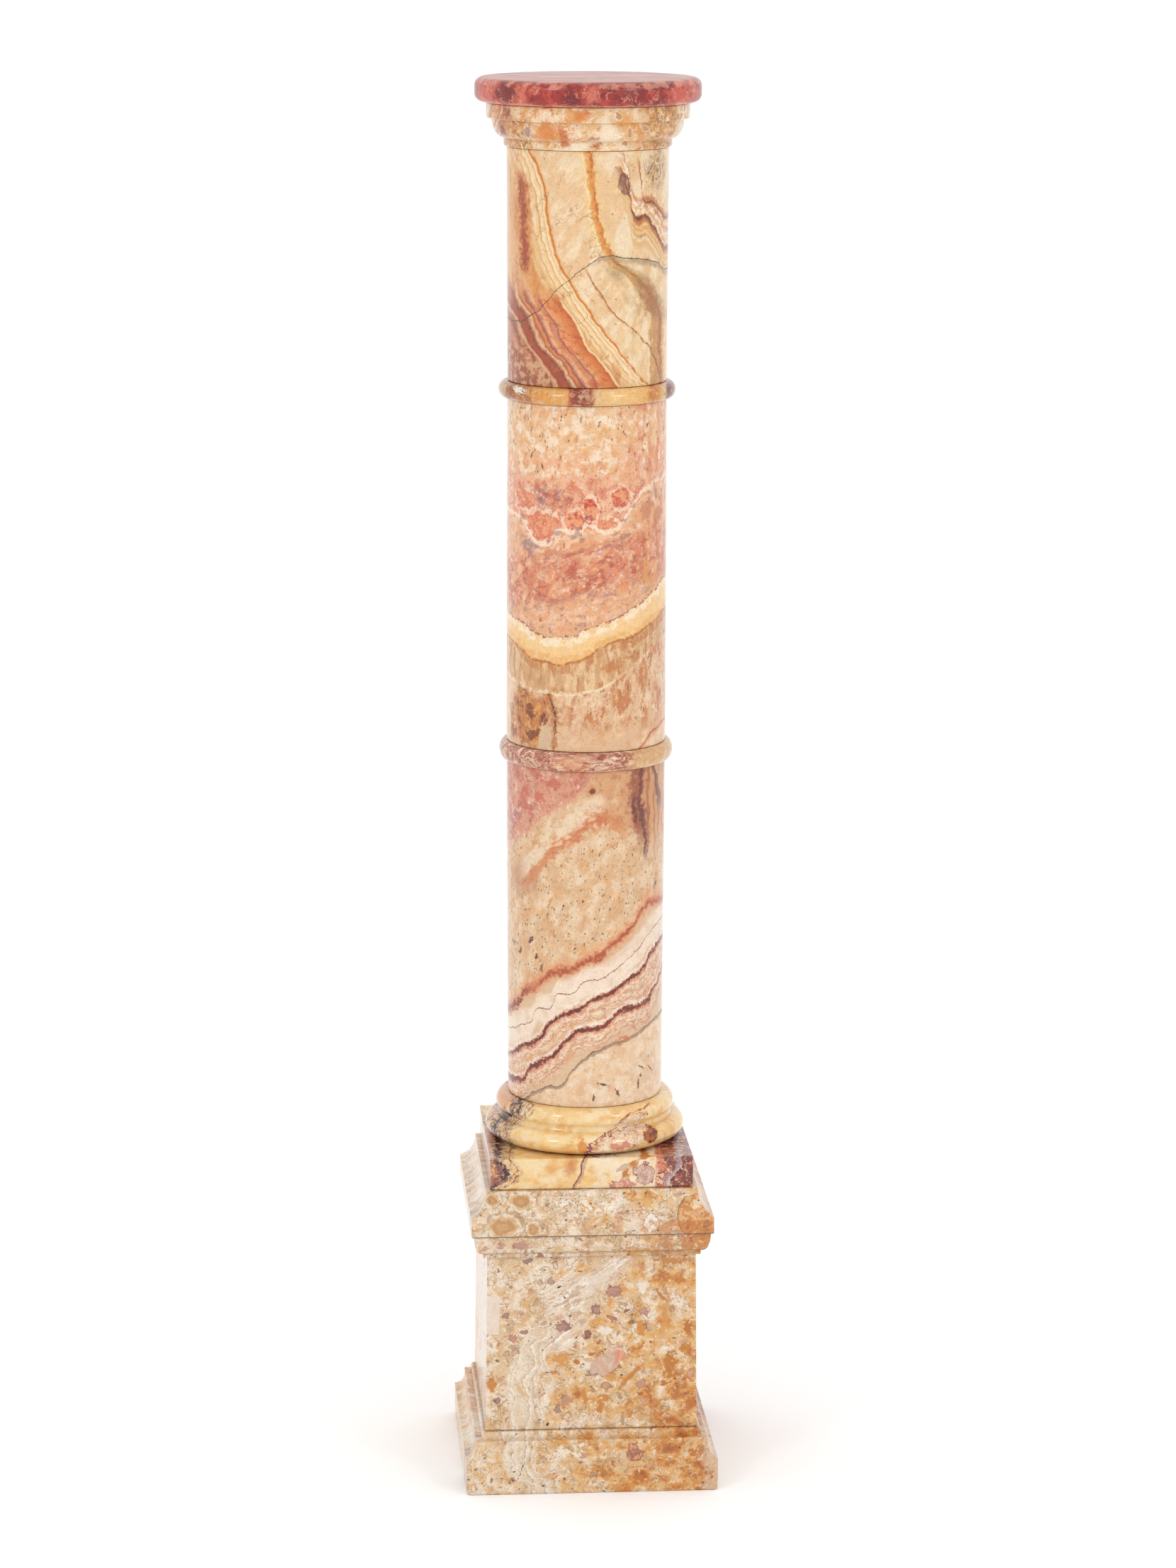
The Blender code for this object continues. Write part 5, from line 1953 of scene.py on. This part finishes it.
    def base_marks(self, f: Figure) -> None:
        """Lay on the base's rust band, salmon clast and dark left seams.

        Args:
            f: the figure that it is laid on.
        """
        low = f.ramp(f.up, 52, 46)
        self.marks(f, (
            ((0, 18), (17, 4), 2, "#B26A22", 0), ((16, 24), (7, 5), 10, "#BC742C", 0),
            ((-30, 13), (14, 7), 0, "#D09A58", 0), ((52, 13), (5, 8), 0, "#B8702C", 0),
            ((72, 17), (10, 9), 10, "#C07A34", 0), ((84, 30), (9, 6), 0, "#C98A48", 0),
            ((-39, 20), (2.6, 2.6), 0, "#A8622A", 0), ((80, 15), (4.6, 4), 0, "#DDC3A8", 0.3),
            ((-90, 7), (7, 4), 0, "#D2AC9A", 0.8), ((-44, 14), (3, 4), 0, "#D2B4A4", 0.5),
            ((-20, 33), (17, 6), 0, "#F1E4D2", 0), ((-10, 38), (9, 3), 0, "#EFE4D6", 0),
        ), 0.9)
        clast = f.both(f.spot((35, 30), (11.5, 14), -8, 0.1, 0.3), low)
        f.lay("#E39A78", 0.95, clast)
        f.lay(
            "#F0D2BA", 0.7, clast,
            f.stripes(f.put("Math", f.up, 0.4, f.across, operation="MULTIPLY_ADD"), 2.4, 0.48, 0.55),
        )
        f.lay("#CF7C5E", 0.7, clast, f.freckles(6, 0.56))
        f.lay("#8C5E4C", 0.7, f.rim(clast))
        f.lay("#E3CDB2", 0.8, f.ramp(f.across, 86, 94), low, f.cloud(7, 0.36, 0.48))
        seam = f.above((-80, 4), (-68, 10), (-60, 15), (-57, 22), (-54, 32))
        f.lay(
            "#3E2C26", 0.9, f.line(seam, 0, 0.8, 1.6, 2.2), f.within(f.across, -66, -55, 2), low,
            f.cloud(4, 0.42, 0.48),
        )

    def joints(self, f: Figure) -> None:
        """Paint shade into the corners between the mouldings, as dark lines at set heights.

        Args:
            f: the figure that it is laid on.
        """
        joints = {
            BlockPart.BASE: ((49.4, 0.6, 0.3),),
            BlockPart.DIE: ((195.4, 1.2, 0.6), (49.4, 0.5, 0.25)),
            BlockPart.CAP: ((199.8, 0.7, 0.45), (215.5, 0.8, 0.65)),
        }
        for level, reach, strength in joints[self.part]:
            # painted shade: a dark line along each corner between the mouldings
            f.lay(
                "#6E4F3A", strength, f.within(f.height, level - 0.5 * reach, level + 0.5 * reach, 0.8),
            )

    def side(self, f: Figure) -> None:
        """Grey the left side: painted shade of its less-lit face, over fine upright layers cut end on.

        Args:
            f: the figure that it is laid on.
        """
        side = f.both(f.ramp(f.across, -83, -84.2), f.ramp(f.behind, 1, 4))
        # painted shade: the broad grey darkens the less-lit left face; the upright streaks after it are its
        # layers
        f.lay("#BFA58E", 0.8, side, f.cloud(9, 0.2, 0.5, 5))
        upright = f.shaped((1, 1, 6), 0)
        f.lay("#A58B76", 0.6, side, f.cloud(4, 0.46, 0.58, 4, upright))
        f.lay("#DCC8B4", 0.5, side, f.cloud(5, 0.5, 0.6, 4, upright))


@dataclass
class TopDisc:
    """The round disc of red marble that things stand on. Sizes in millimetres."""

    node: str = "top_disc"
    edge: float = 6.5
    steps: int = 256
    cell: float = 1.6

    def model(self) -> bpy.types.Object:
        """Return the disc's finished mesh.

        Returns:
            The object, linked to the scene.
        """
        foot, top = heights(self.node)
        reach = half_width(self.node)
        outline = [
            *eased((reach, top), self.edge, True, 10),
            *eased((reach, foot), self.edge, False, 10),
        ]
        mesh = spun(outline, self.steps, self.cell)
        close_ends(mesh)
        return stone_object("red_disc", mesh)

    def build(self) -> None:
        """Model and dress the disc and set it in its place."""
        piece = self.model()
        piece.data.materials.append(RedMarble().make())
        stand_in(piece, (self.node,), Stone.RED)


@dataclass
class Capital:
    """Abacus, ovolo and neck, turned from one stone. Sizes in millimetres."""

    node: str = "capital"
    abacus: float = 12.0
    abacus_ease: float = 1.1
    ovolo_top: float = 75.6
    ovolo_foot: float = 66.6
    ovolo_height: float = 15.3
    neck: float = 66.2
    neck_ease: float = 1.9
    steps: int = 288
    cell: float = 1.5

    def model(self) -> bpy.types.Object:
        """Return the capital's finished mesh.

        Returns:
            The object, linked to the scene.
        """
        foot, top = heights(self.node)
        reach = half_width(self.node)
        shelf = top - self.abacus
        ledge = shelf - self.ovolo_height
        outline = [
            *eased((reach, top), self.abacus_ease, True),
            *eased((reach, shelf), self.abacus_ease, False),
            *ovolo((self.ovolo_top, shelf), (self.ovolo_foot, ledge)),
            (self.neck, ledge),
            *eased((self.neck, foot), self.neck_ease, False),
        ]
        mesh = spun(outline, self.steps, self.cell)
        close_ends(mesh)
        return stone_object("turned_capital", mesh)

    def build(self) -> None:
        """Model and dress the capital and set it in its place."""
        piece = self.model()
        piece.data.materials.append(HoneyBreccia().make())
        stand_in(piece, (self.node,), Stone.CREAM)


@dataclass
class Drum:
    """One drum of the shaft. Sizes in millimetres."""

    node: str
    top_radius: float
    foot_radius: float
    stone: Stone
    ease: float = 0.5
    steps: int = 300
    cell: float = 2.0

    def model(self) -> bpy.types.Object:
        """Return the drum's finished mesh.

        Returns:
            The object, linked to the scene.
        """
        foot, top = heights(self.node)
        outline = [
            *eased((self.top_radius, top), self.ease, True, 3),
            *eased((self.foot_radius, foot), self.ease, False, 3),
        ]
        mesh = spun(outline, self.steps, self.cell)
        close_ends(mesh)
        return stone_object(f"turned_{self.node}", mesh)

    def build(self, finish: bpy.types.Material) -> None:
        """Model and dress the drum and set it in its place."""
        piece = self.model()
        piece.data.materials.append(finish)
        stand_in(piece, (self.node,), self.stone)


@dataclass
class Ring:
    """A half-round ring between two drums. Sizes in millimetres."""

    node: str
    seat: float
    stone: Stone
    steps: int = 320
    cell: float = 1.3

    def model(self) -> bpy.types.Object:
        """Return the ring's finished mesh.

        Returns:
            The object, linked to the scene.
        """
        foot, top = heights(self.node)
        reach = half_width(self.node)
        outline = roll((self.seat, top), (reach, (foot + top) / 2.0), (self.seat, foot))
        mesh = spun(outline, self.steps, self.cell)
        close_ends(mesh)
        return stone_object(f"turned_{self.node}", mesh)

    def build(self, finish: bpy.types.Material) -> None:
        """Model and dress the ring and set it in its place."""
        piece = self.model()
        piece.data.materials.append(finish)
        stand_in(piece, (self.node,), self.stone)


@dataclass
class ColumnBase:
    """Two rolls with a hollow between, turned above a square plinth. Millimetres."""

    node: str = "column_base"
    plinth_height: float = 25.2
    shelf: float = 63.7
    upper_belly: float = 72.3
    upper_belly_height: float = 4.2
    ledge: float = 70.7
    hollow_depth: float = 1.2
    hollow_height: float = 5.5
    lower_belly: float = 80.9
    lower_belly_height: float = 9.0
    lower_height: float = 18.4
    lower_foot: float = 67.7
    arris: float = 0.8
    side_cuts: int = 79
    steps: int = 320
    cell: float = 1.3

    def model(self) -> bpy.types.Object:
        """Return the rolls and the plinth as one closed mesh.

        Returns:
            The object, linked to the scene.
        """
        foot, top = heights(self.node)
        half = half_width(self.node)
        plinth = foot + self.plinth_height
        ledge = plinth + self.lower_height
        shelf = ledge + self.hollow_height
        rolls = [
            *roll(
                (self.shelf, top), (self.upper_belly, shelf + self.upper_belly_height),
                (self.ledge, shelf),
            ),
            *hollow((self.ledge, shelf), (self.ledge, ledge), self.hollow_depth),
            *roll(
                (self.ledge, ledge), (self.lower_belly, plinth + self.lower_belly_height),
                (self.lower_foot, plinth),
            ),
        ]
        mesh = spun(rolls, self.steps, self.cell)
        close_level(mesh, top * MM)
        square = squared(
            [
                *eased((half, plinth), self.arris, True, 3),
                *eased((half, foot), self.arris, False, 3),
            ],
            self.side_cuts, self.cell,
        )
        ease_corners(square, lambda place: self.arris * MM)
        close_level(square, foot * MM)
        join_meshes(mesh, square)
        rim = [edge for edge in mesh.edges if edge.is_boundary]
        made = bmesh.ops.bridge_loops(mesh, edges=rim)
        spokes = [
            edge for edge in mesh.edges
            if edge.calc_length() > 3.0 * MM and all(face in made["faces"] for face in edge.link_faces)
        ]
        bmesh.ops.subdivide_edges(mesh, edges=spokes, cuts=5, use_grid_fill=True)
        return stone_object("turned_column_base", mesh)

    def build(self, finish: bpy.types.Material) -> None:
        """Model and dress the column's base and set it in its place."""
        piece = self.model()
        piece.data.materials.append(finish)
        stand_in(piece, (self.node,), Stone.HONEY)


def close_level(mesh: bmesh.types.BMesh, level: float) -> None:
    """Close the opening of a mesh that lies at a level, in metres.

    Args:
        mesh: the mesh, in metres.
        level: the opening's height, in metres.
    """
    rim = [
        edge for edge in mesh.edges
        if edge.is_boundary and all(abs(point.co.z - level) < 0.1 * MM for point in edge.verts)
    ]
    bmesh.ops.holes_fill(mesh, edges=rim, sides=0)


def join_meshes(mesh: bmesh.types.BMesh, other: bmesh.types.BMesh) -> None:
    """Add another bmesh to a mesh, and free the other.

    Args:
        mesh: the mesh that is added to.
        other: the mesh that is added, which is freed.
    """
    carried = bpy.data.meshes.new("carried")
    other.to_mesh(carried)
    other.free()
    mesh.from_mesh(carried)
    bpy.data.meshes.remove(carried)


@dataclass
class Block:
    """The square block that the column stands on: base, die and cap. Millimetres.

    A height is that of one moulding, and a setback is measured inwards from the
    fascia, the plinth or the fillet that a moulding stands on.
    """

    cap_fillet: float = 4.1
    cap_ovolo: float = 15.8
    cap_fascia: float = 13.3
    cap_head: float = 85.25
    ovolo_top_setback: float = 2.3
    ovolo_foot_setback: float = 8.5
    cap_fillet_setback: float = 9.7
    cap_foot_setback: float = 10.1
    base_plinth: float = 26.0
    base_cove: float = 11.3
    base_fillet: float = 5.1
    base_fillet_setback: float = 7.7
    base_head_setback: float = 5.2
    base_head_ease: float = 3.3
    die_taper: float = 1.5
    foot_wear: float = 3.6
    wear_height: float = 14.0
    cell: float = 1.8
    side_cuts: int = 99
    arris: float = 0.9

    def cap_outline(self) -> list[Point]:
        """Return the cap's half outline, with its arrises eased.

        Returns:
            Half width and height of each point, in millimetres, from top to bottom.
        """
        foot, top = heights("pedestal_cap")
        fascia = half_width("pedestal_cap")
        fillet_top = foot + self.cap_fillet
        fascia_foot = fillet_top + self.cap_ovolo
        cove_foot = fascia_foot + self.cap_fascia
        fillet = fascia - self.cap_fillet_setback
        return [
            *cove((self.cap_head, top), (fascia, cove_foot)),
            (fascia, fascia_foot + 0.7),
            (fascia - 0.5, fascia_foot),
            *ovolo(
                (fascia - self.ovolo_top_setback, fascia_foot),
                (fascia - self.ovolo_foot_setback, fillet_top),
            ),
            (fillet, fillet_top),
            (fillet, foot + 0.5),
            (fascia - self.cap_foot_setback, foot),
        ]

    def base_outline(self) -> list[Point]:
        """Return the moulded base's half outline, with its arrises eased.

        Returns:
            Half width and height of each point, in millimetres, from top to bottom.
        """
        foot, top = heights("pedestal_base")
        plinth = half_width("pedestal_base")
        cove_foot = foot + self.base_plinth
        fillet_foot = cove_foot + self.base_cove
        round_foot = fillet_foot + self.base_fillet
        fillet = plinth - self.base_fillet_setback
        upper = fillet - self.base_head_setback
        return [
            *eased((upper, top), self.base_head_ease, True, 8),
            (upper, round_foot),
            *eased((fillet, round_foot), 0.9, True, 3),
            *cove((fillet, fillet_foot), (plinth, cove_foot)),
            *eased((plinth, foot), 1.6, False, 4),
        ]

    def die_outline(self) -> list[Point]:
        """Return the die's half outline."""
        foot, top = heights("pedestal_die")
        spread = half_width("pedestal_die")
        return [(spread - self.die_taper, top), (spread, foot)]

    def build(self) -> None:
        """Model and dress the three stones of the block."""
        outlines = {
            BlockPart.BASE: self.base_outline(),
            BlockPart.DIE: self.die_outline(),
            BlockPart.CAP: self.cap_outline(),
        }
        for part, outline in outlines.items():
            mesh = squared(outline, self.side_cuts, self.cell)
            ease_corners(mesh, self.wear)
            close_ends(mesh)
            piece = stone_object(part.value.replace("pedestal", "carved"), mesh)
            piece.data.materials.append(ShellyOnyx(part).make())
            stand_in(piece, (part.value,), Stone.SHELLY)

    def wear(self, place: Vector) -> float:
        """Return how far an upright arris is rounded at a place, in metres."""
        uneven = 0.5 + 0.9 * max(0.0, noise.noise(place * 60.0) + 0.2)
        low = max(0.0, 1.0 - place.z / (self.wear_height * MM))
        return (self.arris * uneven + self.foot_wear * low * low) * MM


@dataclass
class Studio:
    """The plain floor, soft light and camera. Metres and degrees."""

    distance: float = 3.668
    camera_height: float = 1.3275
    pitch: float = 11.74
    roll: float = 0.0037
    heading: float = 0.00052
    focal_pixels: float = 6553.5
    sensor: float = 36.0
    room_strength: float = 0.98
    left_power: float = 13.0
    right_power: float = 11.0
    scrim_strength: float = 0.3
    scrim_spread: float = 80.0

    def aim_camera(self) -> None:
        """Create the camera where the photographer stood."""
        data = bpy.data.cameras.new("camera")
        data.sensor_width = data.sensor_height = self.sensor
        data.lens = self.sensor * self.focal_pixels / PHOTO_HEIGHT
        data.clip_end = 200.0
        camera = bpy.data.objects.new("camera", data)
        bpy.context.scene.collection.objects.link(camera)
        seen = Matrix.Rotation(-VIEW_TURN, 4, "Z")
        stand = Matrix.Translation((0.0, -self.distance, self.camera_height))
        level = Matrix.Rotation(math.radians(90.0 - self.pitch), 4, "X")
        aim = Matrix.Rotation(-self.heading, 4, "Z") @ level
        camera.matrix_world = seen @ stand @ aim @ Matrix.Rotation(self.roll, 4, "Z")
        bpy.context.scene.camera = camera

    def lay_floor(self) -> None:
        """Lay a wide white floor."""
        mesh = bmesh.new()
        bmesh.ops.create_grid(mesh, x_segments=1, y_segments=1, size=60.0)
        data = bpy.data.meshes.new("floor")
        mesh.to_mesh(data)
        mesh.free()
        floor = bpy.data.objects.new("floor", data)
        bpy.context.scene.collection.objects.link(floor)
        material = bpy.data.materials.new("matt_white_paper")
        material.use_nodes = True
        shader = material.node_tree.nodes["Principled BSDF"]
        shader.inputs["Base Color"].default_value = linear("#FCFCFC")
        shader.inputs["Roughness"].default_value = 0.9
        shader.inputs["Specular IOR Level"].default_value = 0.1
        data.materials.append(material)

    def soft_box(self, name: str, place: Place, target: Place, size: Point, power: float) -> None:
        """Hang one soft box and aim it.

        Args:
            name: the light's name.
            place: where it hangs, in the seen frame.
            target: what it faces, in the seen frame.
            size: its width and height.
            power: its strength in watts.
        """
        data = bpy.data.lights.new(name, "AREA")
        data.shape = "RECTANGLE"
        data.size, data.size_y = size
        data.energy = power
        light = bpy.data.objects.new(name, data)
        bpy.context.scene.collection.objects.link(light)
        seen = Matrix.Rotation(-VIEW_TURN, 3, "Z")
        start, end = seen @ Vector(place), seen @ Vector(target)
        light.location = start
        light.rotation_mode = "QUATERNION"
        light.rotation_quaternion = (end - start).to_track_quat("-Z", "Y")

    def light(self) -> None:
        """Light the stage evenly and hang a soft box on each side."""
        world = bpy.data.worlds.new("studio_white")
        bpy.context.scene.world = world
        world.use_nodes = True
        background = world.node_tree.nodes["Background"]
        background.inputs["Color"].default_value = (1.0, 1.0, 1.0, 1.0)
        background.inputs["Strength"].default_value = self.room_strength
        self.soft_box("left_soft_box", (-1.9, -2.4, 2.1), (0.0, 0.0, 0.5), (0.6, 1.1), self.left_power)
        self.soft_box("right_soft_box", (2.1, -2.2, 1.9), (0.0, 0.0, 0.5), (0.6, 1.1), self.right_power)
        overhead = bpy.data.lights.new("overhead_scrim", "SUN")
        overhead.energy = self.scrim_strength
        overhead.angle = math.radians(self.scrim_spread)
        scrim = bpy.data.objects.new("overhead_scrim", overhead)
        scrim.location = (0.0, 0.0, 4.0)
        bpy.context.scene.collection.objects.link(scrim)

    def build(self) -> None:
        """Set up the camera, floor and light."""
        self.aim_camera()
        self.lay_floor()
        self.light()
        bpy.context.scene.view_settings.view_transform = "Standard"


def main() -> None:
    """Build the stage and every stone in order."""
    logging.basicConfig(level=logging.INFO, format="%(message)s")
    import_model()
    Studio().build()
    TopDisc().build()
    Capital().build()
    Drum("upper_drum", 63.7, 63.0, Stone.CREAM).build(OrangeLinedOnyx().make())
    Ring("upper_ring", 63.7, Stone.HONEY).build(AmberRingOnyx().make())
    Drum("middle_drum", 63.1, 63.8, Stone.PINK).build(CoralBandedOnyx().make())
    Ring("lower_ring", 64.4, Stone.VEINED).build(MarbledRingOnyx().make())
    Drum("lower_drum", 63.6, 62.5, Stone.CREAM).build(VeinBandedOnyx().make())
    ColumnBase().build(HoneyOnyx().make())
    Block().build()


if __name__ == "__main__":
    main()
